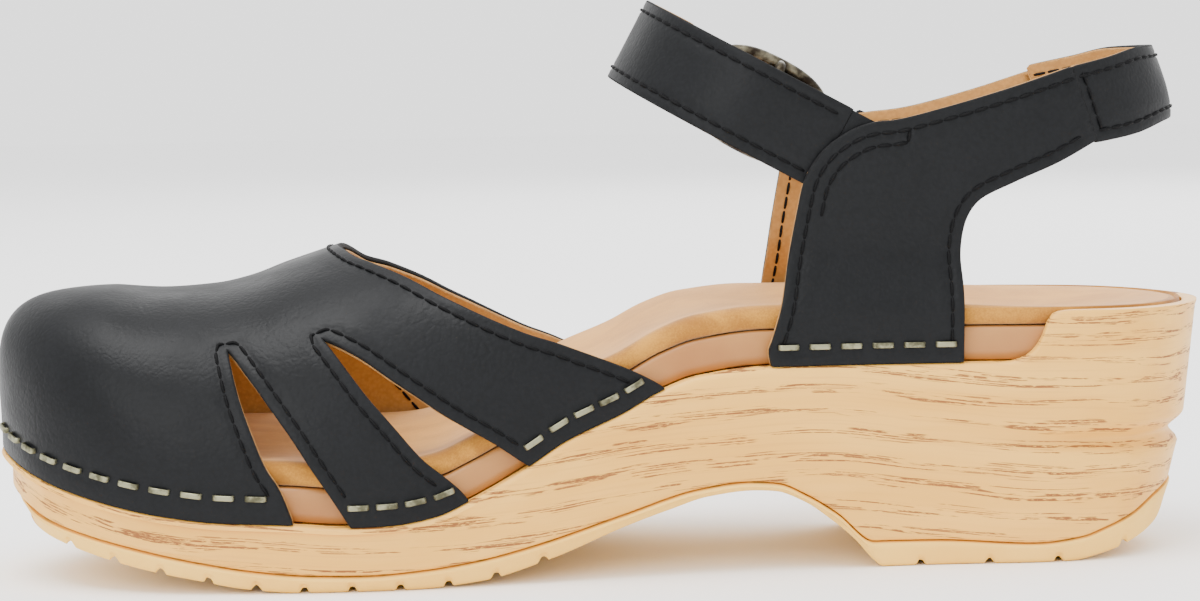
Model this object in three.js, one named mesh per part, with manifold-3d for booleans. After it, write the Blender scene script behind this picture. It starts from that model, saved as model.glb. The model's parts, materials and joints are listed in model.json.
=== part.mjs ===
// A clog sandal: a one-piece wood-look sole, a closed cut-out vamp stapled to it, two quarters that
// carry a heel strap, and an ankle strap that closes with a buckle on the outer side.
// Millimetres. X runs from toe (-) to heel (+), Y from the inner side (-) to the outer side (+), Z up.
import * as THREE from "three";
import { mergeVertices } from "three/addons/utils/BufferGeometryUtils.js";
import Module from "manifold-3d";

const wasm = await Module();
wasm.setup();

// ---------------------------------------------------------------- driving dimensions
const soleLength = 260; // toe to heel along the sole's edge
const ballWidth = 95.5; // widest place of the sole
const heelHeight = 53.8; // floor to the heel rim
const gap = 0.3; // air between two pieces that touch

const leather = 1.3; // outer leather
const lining = 0.9; // lining leather
const frameWall = 3.2; // wall of the frame that takes the staples
const frameFloor = 2.5;
const frameHeight = 7.4; // of the frame above the ledge of the sole
const coverThickness = 1.2; // suede over the footbed
const footbedRise = 5.2; // of the footbed's edge above the frame
const footbedDish = 2.6; // how far its middle lies below its edge
const rimWall = 3.0; // heel rim of the sole
const treadGroove = { width: 2.2, depth: 1.1 };

const ankleWidth = 60; // across the two quarters, at the ankle
const ankleCenter = 1.5; // of the ankle, towards the outer side
const strapWidth = 18;
const strapEndWidth = 14.5; // where it passes through the buckle
const strapTilt = THREE.MathUtils.degToRad(28.5); // slope of the ankle strap, rising to the front
const strapRise = 0.045; // of the strap towards the outer side, per millimetre across
const strapReach = 49; // from the strap's root to the front of the instep
const strapLeather = 1.4;
const sewnLength = 12; // of the strap's root and of the buckle tab, under the quarters
const freeEnd = 22; // of the strap past its root, on the outer side

const ring = { length: 32.6, width: 23.6, wire: 1.6 };
const barRadius = 1.2;
const barSet = 3.8; // how far the buckle's bar lies inside the plane of its ring
const barPlace = 13; // along the strap, from its root
const tabLeather = 1.2;
const tabWidth = 16;
const prong = { radius: 1.0, eye: 2.7, width: 2.4 };
const strapHole = { length: 4.6, width: 2.9, pitch: 7.5, count: 4 };
const keeper = { length: 5, leather: 1.0, foot: 2 };
const staple = { width: 4.5, height: 1.15, wire: 0.6, leg: 5.4 };
const stapleRelief = 0.1; // of the crown's underside past the sole's edge, clear of the bulging leather

// ---------------------------------------------------------------- helpers
// The outlines below are drawn for a sole of this size, and stretched to the one above.
const drawn = { length: 260, width: 95.5, height: 53.8 };
const sx = soleLength / drawn.length;
const sy = ballWidth / drawn.width;
const sz = heelHeight / drawn.height;
const beyond = 80; // past the sole's edge on either side, for cuts that go right through

// A smooth function of x through the points, with no overshoot.
function curve(points) {
  const slope = (i) => (points[i + 1][1] - points[i][1]) / (points[i + 1][0] - points[i][0]);
  const tangents = points.map((_, i) => {
    if (i === 0 || i === points.length - 1) return i ? slope(i - 1) : slope(0);
    const [before, after] = [slope(i - 1), slope(i)];
    return before * after <= 0 ? 0 : (2 * before * after) / (before + after);
  });
  return (x) => {
    let i = points.findIndex((p, j) => j > 0 && x <= p[0]);
    if (x <= points[0][0]) return points[0][1];
    if (i < 0) return points[points.length - 1][1];
    i -= 1;
    const h = points[i + 1][0] - points[i][0];
    const t = (x - points[i][0]) / h;
    const [t2, t3] = [t * t, t * t * t];
    return (2 * t3 - 3 * t2 + 1) * points[i][1] + (t3 - 2 * t2 + t) * h * tangents[i]
      + (3 * t2 - 2 * t3) * points[i + 1][1] + (t3 - t2) * h * tangents[i + 1];
  };
}
const along = (points) => curve(points.map(([x, z]) => [x * sx, z * sz]));
const plain = (points) => curve(points.map(([x, v]) => [x * sx, v]));

// A closed solid from a list of triangles, turned so that its faces point out.
function solidFrom(triangles) {
  const soup = new THREE.BufferGeometry().setFromPoints(triangles.flat());
  const merged = mergeVertices(soup, 1e-4);
  const source = merged.index.array;
  const build = (order) => {
    const kept = [];
    for (let i = 0; i < source.length; i += 3) {
      const [a, b, c] = order.map((k) => source[i + k]);
      if (a !== b && b !== c && a !== c) kept.push(a, b, c);
    }
    return new wasm.Manifold(new wasm.Mesh({
      numProp: 3,
      vertProperties: merged.attributes.position.array,
      triVerts: new Uint32Array(kept),
    }));
  };
  const made = build([0, 1, 2]);
  return made.volume() > 0 ? made : build([0, 2, 1]);
}
function solidOf(geometry) {
  const g = geometry.index ? geometry.toNonIndexed() : geometry;
  const p = g.attributes.position;
  const corner = (i) => new THREE.Vector3().fromBufferAttribute(p, i);
  const triangles = [];
  for (let i = 0; i < p.count; i += 3) triangles.push([corner(i), corner(i + 1), corner(i + 2)]);
  return solidFrom(triangles);
}

// A solid from cross-sections: each one holds the same number of points down its inner side and
// down its outer side, and is closed straight across at both ends of the list.
function sections(list) {
  const triangles = [];
  const quad = (a, b, c, d) => triangles.push([a, b, c], [a, c, d]);
  const last = list[0].inner.length - 1;
  list.slice(1).forEach((next, i) => {
    const here = list[i];
    for (let k = 0; k < last; k++) {
      quad(here.inner[k], here.inner[k + 1], next.inner[k + 1], next.inner[k]);
      quad(here.outer[k + 1], here.outer[k], next.outer[k], next.outer[k + 1]);
    }
    quad(here.inner[last], here.outer[last], next.outer[last], next.inner[last]);
    quad(here.inner[0], next.inner[0], next.outer[0], here.outer[0]);
  });
  for (let k = 0; k < last; k++) {
    const [a, b] = [list[0], list[list.length - 1]];
    quad(a.inner[k], a.outer[k], a.outer[k + 1], a.inner[k + 1]);
    quad(b.outer[k], b.inner[k], b.inner[k + 1], b.outer[k + 1]);
  }
  return solidFrom(triangles);
}

// A side-view outline in X and Z, extruded from one Y to another.
function prism(points, fromY = -beyond, toY = beyond) {
  const shape = new THREE.Shape(points.map(([x, z]) => new THREE.Vector2(x * sx, z * sz)));
  const geometry = new THREE.ExtrudeGeometry(shape, { depth: toY - fromY, bevelEnabled: false });
  return solidOf(geometry.rotateX(Math.PI / 2).translate(0, toY, 0));
}
function block(size, center, basis) {
  const geometry = new THREE.BoxGeometry(...size).translate(...center);
  return solidOf(basis ? geometry.applyMatrix4(basis) : geometry);
}

// ---------------------------------------------------------------- the sole's plan and heights
const toeTip = new THREE.Vector3(-129, -8, 0);
const heelTip = new THREE.Vector3(130.2, 1, 0);
const innerEdge = [
  [-125, -21.5], [-115.5, -33], [-98, -42], [-72, -45.2], [-48, -45.5], [-20, -41.3], [10, -35.8],
  [42, -32.2], [70, -31.8], [95, -32.8], [113, -28.6], [125, -17],
];
const outerEdge = [
  [126.5, 15], [114.5, 28], [95, 33.5], [70, 34], [40, 36], [10, 41], [-20, 47.5], [-46, 50], [-72, 46],
  [-94, 37.5], [-111, 26.5], [-123, 11],
];
const plan = new THREE.CatmullRomCurve3(
  [toeTip, ...innerEdge.map(([x, y]) => new THREE.Vector3(x, y, 0)), heelTip,
    ...outerEdge.map(([x, y]) => new THREE.Vector3(x, y, 0))]
    .map((p) => new THREE.Vector3(p.x * sx, p.y * sy, 0)),
  true, "centripetal");
plan.arcLengthDivisions = 800;
const heelShare = findHeelShare();
function findHeelShare() {
  let best = 0;
  for (let i = 0; i <= 400; i++) if (plan.getPointAt(i / 400).x > plan.getPointAt(best).x) best = i / 400;
  return best;
}
const stationCount = 26;
// A point of the sole's edge, moved inwards: side is -1 for the inner side, 1 for the outer.
function edge(station, side, inset) {
  const share = station / stationCount;
  const u = side < 0 ? heelShare * share : 1 - (1 - heelShare) * share;
  const t = plan.getTangentAt(u);
  return plan.getPointAt(u).addScaledVector(new THREE.Vector3(-t.y, t.x, 0), inset);
}
// Y of the faceted edge at one X.
function edgeY(x, side, inset) {
  for (let i = 0; i < stationCount; i++) {
    const [a, b] = [edge(i, side, inset), edge(i + 1, side, inset)];
    if (a.x <= x && x <= b.x) return a.y + ((b.y - a.y) * (x - a.x)) / (b.x - a.x);
  }
  return 0;
}

const treadBottom = along([
  [-129, 17], [-124, 13.7], [-121, 11.4], [-112, 8.8], [-97, 5.2], [-85, 2.8], [-75, 0.9], [-64, 0],
  [-40, 0], [-27, 1], [-12, 5], [3, 10.7], [13, 14], [21, 16.3], [30, 17.2], [35, 16.9], [41, 14.6],
  [47, 10.4], [52, 6], [56, 1.4], [58, 0], [98, 0], [105, 1.2], [112, 3.2], [118, 5.8], [123, 9],
  [130, 14],
]);
const parting = along([
  [-129, 22], [-124.4, 17.8], [-119.5, 14.9], [-109, 11.9], [-96, 9], [-85, 6.7], [-73, 4.7], [-62, 3.7],
  [-50, 3.4], [-39, 4], [-27, 5.5], [-15, 8.2], [3, 13.5], [19, 18.1], [29, 19.2], [35.5, 18.7],
  [41.5, 16.1], [48, 12], [56, 5.6], [70, 5.4], [91, 4.3], [100, 5.2], [106, 7.1], [112, 9.5], [118, 12.9],
  [130, 17],
]);
const ledge = along([
  [-130, 28.6], [-126.7, 26.7], [-120, 23.8], [-113, 21.4], [-98, 17.7], [-90, 16.3], [-80, 15.1],
  [-66, 14.5], [-54, 13.7], [-45, 13.9], [-36, 15.3], [-29, 18.2], [-17, 24.6], [-9, 29.6], [3, 34.9],
  [11, 39.2], [19, 41.9], [33, 43.4], [60, 43.4], [130, 43],
]);
const rimHeight = along([
  [80, 0], [84, 0.2], [87.4, 1.2], [89.6, 3], [91.4, 6], [92.6, 9.2], [94, 10.4], [98, 10.8], [131, 10.8],
]);
const sideTop = (x) => ledge(x) + rimHeight(x);
const frameTop = (x) => ledge(x) + frameHeight;
const coverEdge = (x) => frameTop(x) + footbedRise - heelDrop(x);
const heelDrop = plain([[60, 0], [95, 1.4], [130, 1.6]]);
// Insets of the sole's side below the ledge, growing towards the floor.
const treadInset = plain([[-129, 5.6], [-115, 3.8], [-90, 2.6], [48, 2.6], [60, 4.2], [131, 7.2]]);
const partingInset = plain([[-129, 3.6], [-112, 2.2], [-60, 1.3], [48, 1.4], [60, 3.4], [131, 5.6]]);
const grooveInset = plain([[-129, 2.2], [-60, 1], [40, 1], [66, 2.4], [131, 5]]);
const shelfInset = plain([[-129, 1.6], [-60, 0.8], [40, 0.8], [66, 1.4], [131, 2.5]]);
const grooveShare = plain([[-129, 0.45], [60, 0.52]]); // of the way from the parting to the ledge
const grooveHeight = (x) => THREE.MathUtils.lerp(parting(x), ledge(x), grooveShare(x));

// A solid of the sole's plan: each row is [inset, height, share of the way to the middle line], where
// inset and height may be functions of x, from the lowest row to the highest.
function soleSolid(rows, toStation = stationCount) {
  const value = (v, x) => (typeof v === "function" ? v(x) : v);
  const list = [];
  for (let i = 0; i <= toStation; i++) {
    const rim = [edge(i, -1, 0), edge(i, 1, 0)];
    const side = (s) => rows.map(([inset, height, share = 0]) => {
      const [near, far] = [s, 1 - s].map((k) => edge(i, k ? 1 : -1, value(inset, rim[k].x)));
      const p = near.lerp(far, share / 2);
      p.z = value(height, p.x);
      return p;
    });
    list.push({ inner: side(0), outer: side(1) });
  }
  return sections(list);
}

// ---------------------------------------------------------------- sole pieces
const half = gap / 2;
const grooveLip = { below: 1.2, above: 1.6 }; // of the groove along the sole's side, to its middle
const frameInset = gap + leather + gap + lining + gap + 0.2;

function makeOutsole() {
  let solid = soleSolid([
    [treadInset, treadBottom],
    [(x) => (treadInset(x) + partingInset(x)) / 2, (x) => (treadBottom(x) + parting(x)) / 2],
    [partingInset, (x) => parting(x) - half],
  ]);
  const forefoot = { first: -112, last: -14, count: 11 };
  const heel = { first: 66, last: 110, count: 4 };
  const cutDepth = 20;
  for (const row of [forefoot, heel]) {
    for (let i = 0; i < row.count; i++) {
      const x = (row.first + ((row.last - row.first) * i) / (row.count - 1)) * sx;
      const depth = treadBottom(x) + treadGroove.depth;
      solid = solid.subtract(block([treadGroove.width, 2 * beyond, cutDepth], [x, 0, depth - cutDepth / 2]));
    }
  }
  return solid;
}

function makeSoleBody() {
  const body = soleSolid([
    [partingInset, (x) => parting(x) + half],
    [grooveInset, (x) => grooveHeight(x) - grooveLip.below],
    [shelfInset, (x) => grooveHeight(x) + grooveLip.above],
    [0, (x) => sideTop(x) - 1],
    [plain([[80, 0.5], [131, -0.6]]), sideTop],
  ]);
  const pocket = soleSolid([
    [rimWall, ledge],
    [rimWall, (x) => ledge(x) + 30],
  ]);
  return body.subtract(pocket);
}

function makeStapleFrame() {
  const tub = soleSolid([
    [frameInset, (x) => ledge(x) + gap],
    [frameInset, frameTop],
  ]);
  const well = soleSolid([
    [frameInset + frameWall, (x) => ledge(x) + frameFloor],
    [frameInset + frameWall, (x) => ledge(x) + 40],
  ]);
  return tub.subtract(well);
}

// The footbed: its edge leans inwards, and its top is dished across its width.
const footbedLean = 1.2;
const coverSet = frameInset + 0.2;
const coreSet = frameInset + coverThickness + gap + 0.35;
const dishRows = [[0.45, 0.45], [1, 0.95]]; // depth of the dish, at a share of the way to the middle
const dishFade = plain([[-122, 0], [-100, 1], [100, 1], [122, 0]]);
const dish = (x, share) => footbedDish * dishFade(x) * Math.sin((share * Math.PI) / 2) ** 1.5;
function dished(inset, top) {
  return [[inset, top], ...dishRows.map(([depth, share]) => [inset, (x) => top(x) - dish(x, depth), share])];
}
function makeFootbedCore() {
  const inner = frameInset + frameWall + gap;
  const top = (x) => coverEdge(x) - coverThickness - gap - half;
  return soleSolid([
    [inner, (x) => ledge(x) + frameFloor + gap],
    [inner, (x) => frameTop(x) + gap],
    [coreSet, (x) => frameTop(x) + gap],
    ...dished(coreSet + footbedLean, top),
  ]);
}
function makeFootbedCover() {
  const low = (x) => frameTop(x) + gap;
  const outside = soleSolid([
    [coverSet, low],
    ...dished(coverSet + footbedLean, coverEdge),
  ]);
  const inside = soleSolid([
    [coverSet + coverThickness, (x) => low(x) - 1],
    [coverSet + coverThickness, low],
    ...dished(coverSet + footbedLean + coverThickness, (x) => coverEdge(x) - coverThickness),
  ]);
  return outside.subtract(inside);
}

// ---------------------------------------------------------------- vamp
const vampStations = 17;
const spineStart = -104;
const crown = along([
  [-104, 61], [-93, 60.2], [-83, 60.7], [-75.5, 62.2], [-68, 64.9], [-58, 68.1], [-40, 73.5], [-20, 79.5],
  [0, 85], [60, 100],
]);
const spineY = plain([[-104, -5], [-60, 1], [-20, 3], [20, 2]]);
const roundness = plain([[-129, 3.8], [-118, 3.4], [-95, 2.6], [20, 2.3]]);
const toeBulge = plain([[-129, 1.6], [-90, 0.8], [-50, 0.4], [20, 0.2]]);

// The dome that the vamp is cut from, a given depth inside the leather's outer face.
function dome(depth, drop = 0) {
  const levels = 5;
  const list = [];
  for (let i = 0; i <= vampStations; i++) {
    const side = (s) => {
      const foot = edge(i, s, gap + depth);
      const x = edge(i, s, 0).x;
      const out = new THREE.Vector3(foot.x, foot.y, 0).sub(edge(i, s, gap + depth + 1)).setZ(0);
      const top = new THREE.Vector3(Math.max(x, spineStart * sx), 0, 0);
      top.y = spineY(top.x) * sy;
      const base = ledge(x) + gap;
      const height = crown(top.x) - depth - base;
      const rows = [];
      for (let k = 0; k <= levels; k++) {
        const angle = ((k / levels) ** 1.35 * Math.PI) / 2;
        const wide = k === levels ? 0 : Math.cos(angle) ** (2 / roundness(x));
        const p = new THREE.Vector3().lerpVectors(top, foot, wide);
        p.addScaledVector(out, toeBulge(x) * Math.sin(2 * angle));
        p.z = base + height * Math.sin(angle) ** (2 / roundness(x));
        rows.push(p);
      }
      rows.unshift(rows[0].clone().setZ(base - drop - 0.01));
      return rows;
    };
    list.push({ inner: side(-1), outer: side(1) });
  }
  return sections(list);
}

const cutOuts = [
  [[-78.2, 50], [-77.4, 46], [-75.7, 39.8], [-73.2, 32.7], [-70.5, 26], [-67.8, 21.6], [-66.4, 18], [-66, 8],
    [-50.5, 8], [-54, 13.4], [-58.5, 20.5], [-62.1, 25.8], [-66.2, 32], [-70.4, 38.2], [-74.6, 44.5]],
  [[-58.8, 52], [-57.1, 49.8], [-49.9, 40.4], [-44, 33.5], [-38.4, 26.9], [-34.4, 23.5], [-31, 20.4],
    [-29.3, 18], [-28, 8], [-10, 12], [-17.1, 24.7], [-23.3, 28.7], [-29.5, 32.2], [-37.3, 37.3],
    [-44.5, 42.5], [-52.4, 48.1]],
];
const aboveTopline = [[60, 20], [60, 140], [-60, 140], [-58.5, 72]];
const toplines = {
  "-1": [[-56.5, 68], [-53, 67.4], [-48.5, 66], [-40.5, 62.9], [-32, 58.6], [-20.3, 53.2], [-8.4, 48.9],
    [3.3, 44.2], [12, 39.6], [14, 30]],
  1: [[-56.5, 68], [-53, 66.9], [-47, 64.2], [-39.2, 60.3], [-26.3, 53], [-13.3, 46], [-4.5, 41.9],
    [3, 39], [9, 36.5], [11, 28]],
};
function makeVampLayer(from, to) {
  let layer = dome(from).subtract(dome(to, 3));
  for (const outline of cutOuts) layer = layer.subtract(prism(outline));
  for (const side of [-1, 1]) {
    const cut = prism([...aboveTopline, ...toplines[side]], side < 0 ? -beyond : 0, side < 0 ? 0 : beyond);
    layer = layer.subtract(cut);
  }
  return layer;
}

// ---------------------------------------------------------------- quarters and heel strap
const sleeveFront = 22;
// The sleeve round the ankle that quarters and heel strap are cut from.
function sleeve(depth) {
  const heights = [40, 54, 58, 63, 67, 94, 112];
  const reach = [0, 0.15, 0.35, 0.5, 0.62, 0.73, 0.83, 0.905, 0.96, 1];
  const back = curve([[0, 125.2], [94, 125.2], [112, 120]]);
  return sections(heights.map((z) => {
    const lean = THREE.MathUtils.smoothstep(z, 54, 67);
    const rear = back(z) * sx - depth;
    const front = (sleeveFront - depth) * sx;
    const side = (s) => reach.map((share) => {
      const x = front + (rear - front) * share;
      const foot = edgeY(Math.min(x, 80 * sx), s, gap + depth);
      const high = ankleCenter + s * (ankleWidth / 2 - depth);
      const shut = Math.max(0, (x - 72 * sx) / (rear - 72 * sx));
      const wide = share === 1 ? 0 : Math.sqrt(1 - shut ** 2.3);
      const y = THREE.MathUtils.lerp(ankleCenter, THREE.MathUtils.lerp(foot, high, lean), wide);
      return new THREE.Vector3(x, y, z * sz);
    });
    return { inner: side(-1), outer: side(1) };
  }));
}

// The outer quarter's front edge stands a little further back, and its arm a little lower.
const quarterFront = {
  "-1": [[34.6, 43.75], [34.2, 46.8], [34.8, 48.4], [36.8, 54.8], [38.9, 66], [41.1, 76.8], [42.1, 81]],
  1: [[37.6, 43.75], [37.4, 46.8], [37.8, 48.4], [38.6, 54.8], [40, 66], [41.9, 76.8], [42.8, 81.5]],
};
const quarterCorner = [[43.2, 83.6], [44.7, 86], [46.7, 88.3], [50.1, 90.8], [53.7, 92.6], [57.1, 93.5]];
const quarterArm = {
  "-1": [[61.6, 93.9], [71.5, 96.2], [86.4, 100.3], [98.9, 104.2]],
  1: [[62.5, 94.2], [71.5, 95.2], [86.4, 98.9], [99.3, 103]],
};
const quarterBack = [
  [104.3, 89.2], [96, 85], [86.1, 81], [78.6, 77.4], [76.1, 74.3], [74.9, 70.9], [74.3, 65.9], [74.6, 59.3],
  [74.4, 43.75],
];
const heelStrapOutline = [
  [104.65, 89.35], [114, 92], [122, 94.2], [140, 96], [140, 110], [122, 108.6], [115.8, 108.2],
  [108.3, 106.3], [99.25, 104.3],
];
const leatherShell = sleeve(0).subtract(sleeve(leather));
const liningShell = sleeve(leather + gap).subtract(sleeve(leather + gap + lining));

// ---------------------------------------------------------------- ankle strap and buckle
// The strap's frame: U along the strap from its root to the front, V outwards to the outer side, and W
// across the strap.
const root = new THREE.Vector3(50 * sx, ankleCenter, 88.7 * sz);
const strapFrame = new THREE.Matrix4().makeBasis(
  new THREE.Vector3(-Math.cos(strapTilt), 0, Math.sin(strapTilt)),
  new THREE.Vector3(0, 1, strapRise),
  new THREE.Vector3(-Math.sin(strapTilt), 0, -Math.cos(strapTilt)),
).setPosition(root);

// A band of leather that follows a path in U and V, between two offsets to the path's left.
function band(path, from, to, width, steps) {
  const line = new THREE.SplineCurve(path.map(([u, v]) => new THREE.Vector2(u, v)));
  line.arcLengthDivisions = 400;
  const side = (offset) => Array.from({ length: steps + 1 }, (_, i) => {
    const t = line.getTangentAt(i / steps);
    return line.getPointAt(i / steps).add(new THREE.Vector2(-t.y, t.x).multiplyScalar(offset));
  });
  const shape = new THREE.Shape([...side(from), ...side(to).reverse()]);
  const geometry = new THREE.ExtrudeGeometry(shape, { depth: width, bevelEnabled: false });
  return solidOf(geometry.translate(0, 0, -width / 2).applyMatrix4(strapFrame));
}
// A round wire through points in U, V and W.
function wire(points, radius, closed = false) {
  const sides = 8;
  const rings = points.map((p, i) => {
    const before = points[i ? i - 1 : closed ? points.length - 1 : 0];
    const after = points[i < points.length - 1 ? i + 1 : closed ? 0 : i];
    const t = after.clone().sub(before).normalize();
    const across = Math.abs(t.y) < 0.9 ? new THREE.Vector3(0, 1, 0) : new THREE.Vector3(1, 0, 0);
    const a = across.addScaledVector(t, -across.dot(t)).normalize();
    const b = t.clone().cross(a);
    return Array.from({ length: sides }, (_, k) => {
      const angle = (k / sides) * 2 * Math.PI;
      const [forA, forB] = [radius * Math.cos(angle), radius * Math.sin(angle)];
      return p.clone().addScaledVector(a, forA).addScaledVector(b, forB);
    });
  });
  const triangles = [];
  const count = closed ? rings.length : rings.length - 1;
  for (let i = 0; i < count; i++) {
    const [r, n] = [rings[i], rings[(i + 1) % rings.length]];
    for (let k = 0; k < sides; k++) {
      const m = (k + 1) % sides;
      triangles.push([r[k], r[m], n[m]], [r[k], n[m], n[k]]);
    }
  }
  if (!closed) {
    for (let k = 1; k < sides - 1; k++) {
      triangles.push([rings[0][0], rings[0][k + 1], rings[0][k]]);
      triangles.push([rings[count][0], rings[count][k], rings[count][k + 1]]);
    }
  }
  return solidFrom(triangles.map((t) => t.map((p) => p.clone().applyMatrix4(strapFrame))));
}

const strapThickness = strapLeather + gap + lining;
const ankle = ankleWidth / 2;
const rootFace = ankle - leather - gap; // outer face of what is sewn under a quarter
const overQuarter = ankle + gap; // inner face of what lies on a quarter
const ringPlane = overQuarter + strapThickness + gap + ring.wire;
const barV = ringPlane - barSet;
const loopRadius = barRadius + gap + tabLeather;
const overBar = barV + loopRadius + gap; // inner face of the strap where it crosses the bar
const ringFront = barPlace + ring.length / 2 - ring.wire;
const ringRear = barPlace - ring.length / 2 + ring.wire;
// From the middle of the ring's wire to where the strap lies clear of it: further for a thicker wire,
// because the ring's corners close in on the strap.
const ringPass = 3 * ring.wire - 1.8;

// The strap's outer face, from the hinge line at its root round the instep to its free end.
const hingeU = 2.2;
const strapPath = [
  [hingeU, -rootFace], [14, -rootFace], [26, -rootFace + 0.8], [strapReach - 11, -21.6],
  [strapReach - 3.4, -12.8], [strapReach, 0], [strapReach - 3.4, 13.4], [strapReach - 11, 22.6],
  [ringFront + ringPass, ringPlane - ring.wire - 1.5], [ringFront - ringPass, ringPlane - ring.wire - gap],
  [barPlace + 5, overBar + strapThickness - 0.7], [barPlace, overBar + strapThickness],
  [barPlace - 5, overBar + strapThickness - 0.7],
  [ringRear + ringPass + 1.5, overQuarter + strapThickness + 0.1],
  [ringRear, overQuarter + strapThickness], [ringRear - 5, overQuarter + strapThickness],
  [-freeEnd, overQuarter + strapThickness],
];
const prongHole = barPlace + 1.6;
const taper = { first: ringFront + ringPass + 1, last: ringFront + ringPass + 7 }; // narrow to full width
function makeStrapLayer(from, to) {
  let layer = band(strapPath, from, to, strapWidth, 46);
  const [wide, narrow, outside] = [strapWidth / 2 + 0.2, strapEndWidth / 2, strapWidth];
  const [trimStart, trimFrom, trimTo] = [-2 * freeEnd, 5, 65];
  for (const side of [-1, 1]) {
    const points = [[trimStart, narrow], [taper.first, narrow], [taper.last, wide], [taper.last, outside],
      [trimStart, outside]];
    const shape = new THREE.Shape(points.map(([u, w]) => new THREE.Vector2(u, side * w)));
    const trim = new THREE.ExtrudeGeometry(shape, { depth: trimTo - trimFrom, bevelEnabled: false });
    trim.rotateX(Math.PI / 2).translate(0, trimTo, 0);
    layer = layer.subtract(solidOf(trim.applyMatrix4(strapFrame)));
  }
  for (let i = 0; i < strapHole.count; i++) {
    const u = prongHole + strapHole.pitch * (1 - i);
    const size = [strapHole.length, 5 * strapThickness, strapHole.width];
    layer = layer.subtract(block(size, [u, overBar, 0], strapFrame));
  }
  return layer;
}
function makeStrapRoot() {
  const size = [sewnLength + hingeU - gap, strapThickness, strapWidth];
  return block(size, [(hingeU - gap - sewnLength) / 2, -rootFace + strapThickness / 2, 0], strapFrame);
}

function makeBuckleTab() {
  const middle = barRadius + gap + tabLeather / 2;
  const outer = rootFace - tabLeather / 2;
  const inner = outer - tabLeather - gap;
  const round = [120, 80, 40, 0, -40, -80, -110].map((degrees) => {
    const angle = THREE.MathUtils.degToRad(degrees);
    return [barPlace + middle * Math.cos(angle), barV + middle * Math.sin(angle)];
  });
  const path = [[-sewnLength, outer], [2, outer], [6, outer + 0.7], [barPlace - 4.2, barV + 0.9], ...round,
    [barPlace - 5, inner + 0.9], [barPlace - 9, inner], [-sewnLength, inner]];
  const strip = band(path, -tabLeather / 2, tabLeather / 2, tabWidth, 30);
  const slot = prong.width + 2 * gap + 0.4;
  return strip.subtract(block([2 * loopRadius + 5, 12, slot], [barPlace + 0.4, barV, 0], strapFrame));
}

function makeBuckleFrame() {
  const [a, b] = [ring.length / 2 - ring.wire, ring.width / 2 - ring.wire];
  const loop = Array.from({ length: 24 }, (_, i) => {
    const angle = (i / 24) * 2 * Math.PI;
    const bend = (c) => Math.sign(c) * Math.abs(c) ** 0.77;
    return new THREE.Vector3(barPlace + a * bend(Math.cos(angle)), ringPlane, b * bend(Math.sin(angle)));
  });
  const barHalf = [[b, ringPlane], [b, barV + 1.2], [b - 1, barV]];
  const bar = [...barHalf, ...barHalf.map(([w, v]) => [-w, v]).reverse()]
    .map(([w, v]) => new THREE.Vector3(barPlace, v, w));
  return wire(loop, ring.wire, true).add(wire(bar, barRadius));
}

function makeProng() {
  const hole = barRadius + gap;
  const profile = [[hole, -1], [prong.eye, -1], [prong.eye, 1], [hole, 1], [hole, -1]]
    .map(([r, w]) => new THREE.Vector2(r, (w * prong.width) / 2));
  const eye = new THREE.LatheGeometry(profile, 16).rotateX(Math.PI / 2).translate(barPlace, barV, 0);
  const over = ringPlane + ring.wire + gap + prong.radius;
  const shank = [[1.2, barV + 1.9], [1.6, barV + 3.6], [1.9, over - 1.8], [2.9, over - 0.4], [5, over + 0.2],
    [10, over + 0.3], [ring.length / 2 - ring.wire, over + 0.1], [ring.length / 2 + 1.4, over - 0.5]]
    .map(([u, v]) => new THREE.Vector3(barPlace + u, v, 0));
  return solidOf(eye.applyMatrix4(strapFrame)).add(wire(shank, prong.radius));
}

// The keeper bridges the strap's free end; its two feet are sewn to the outer quarter.
function makeKeeper() {
  const [low, high] = [ankle + gap, overQuarter + strapThickness + gap];
  const inside = strapEndWidth / 2 + gap;
  const outside = inside + keeper.leather;
  const sole = low + keeper.leather;
  const halfShape = [[outside + keeper.foot, low], [outside + keeper.foot, sole], [outside, sole],
    [outside, high + keeper.leather]];
  const innerShape = [[inside, high], [inside, low]];
  const mirrored = (list) => list.map(([w, v]) => [-w, v]).reverse();
  const points = [...halfShape, ...mirrored(halfShape), ...mirrored(innerShape), ...innerShape];
  const shape = new THREE.Shape(points.map(([w, v]) => new THREE.Vector2(w, v)));
  const geometry = new THREE.ExtrudeGeometry(shape, { depth: keeper.length, bevelEnabled: false });
  const turn = new THREE.Matrix4().makeBasis(
    new THREE.Vector3(0, 0, 1), new THREE.Vector3(0, 1, 0), new THREE.Vector3(-1, 0, 0));
  geometry.applyMatrix4(turn).translate(ringRear - 4 - keeper.length - ring.wire, 0, 0);
  return solidOf(geometry.applyMatrix4(strapFrame));
}

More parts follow.
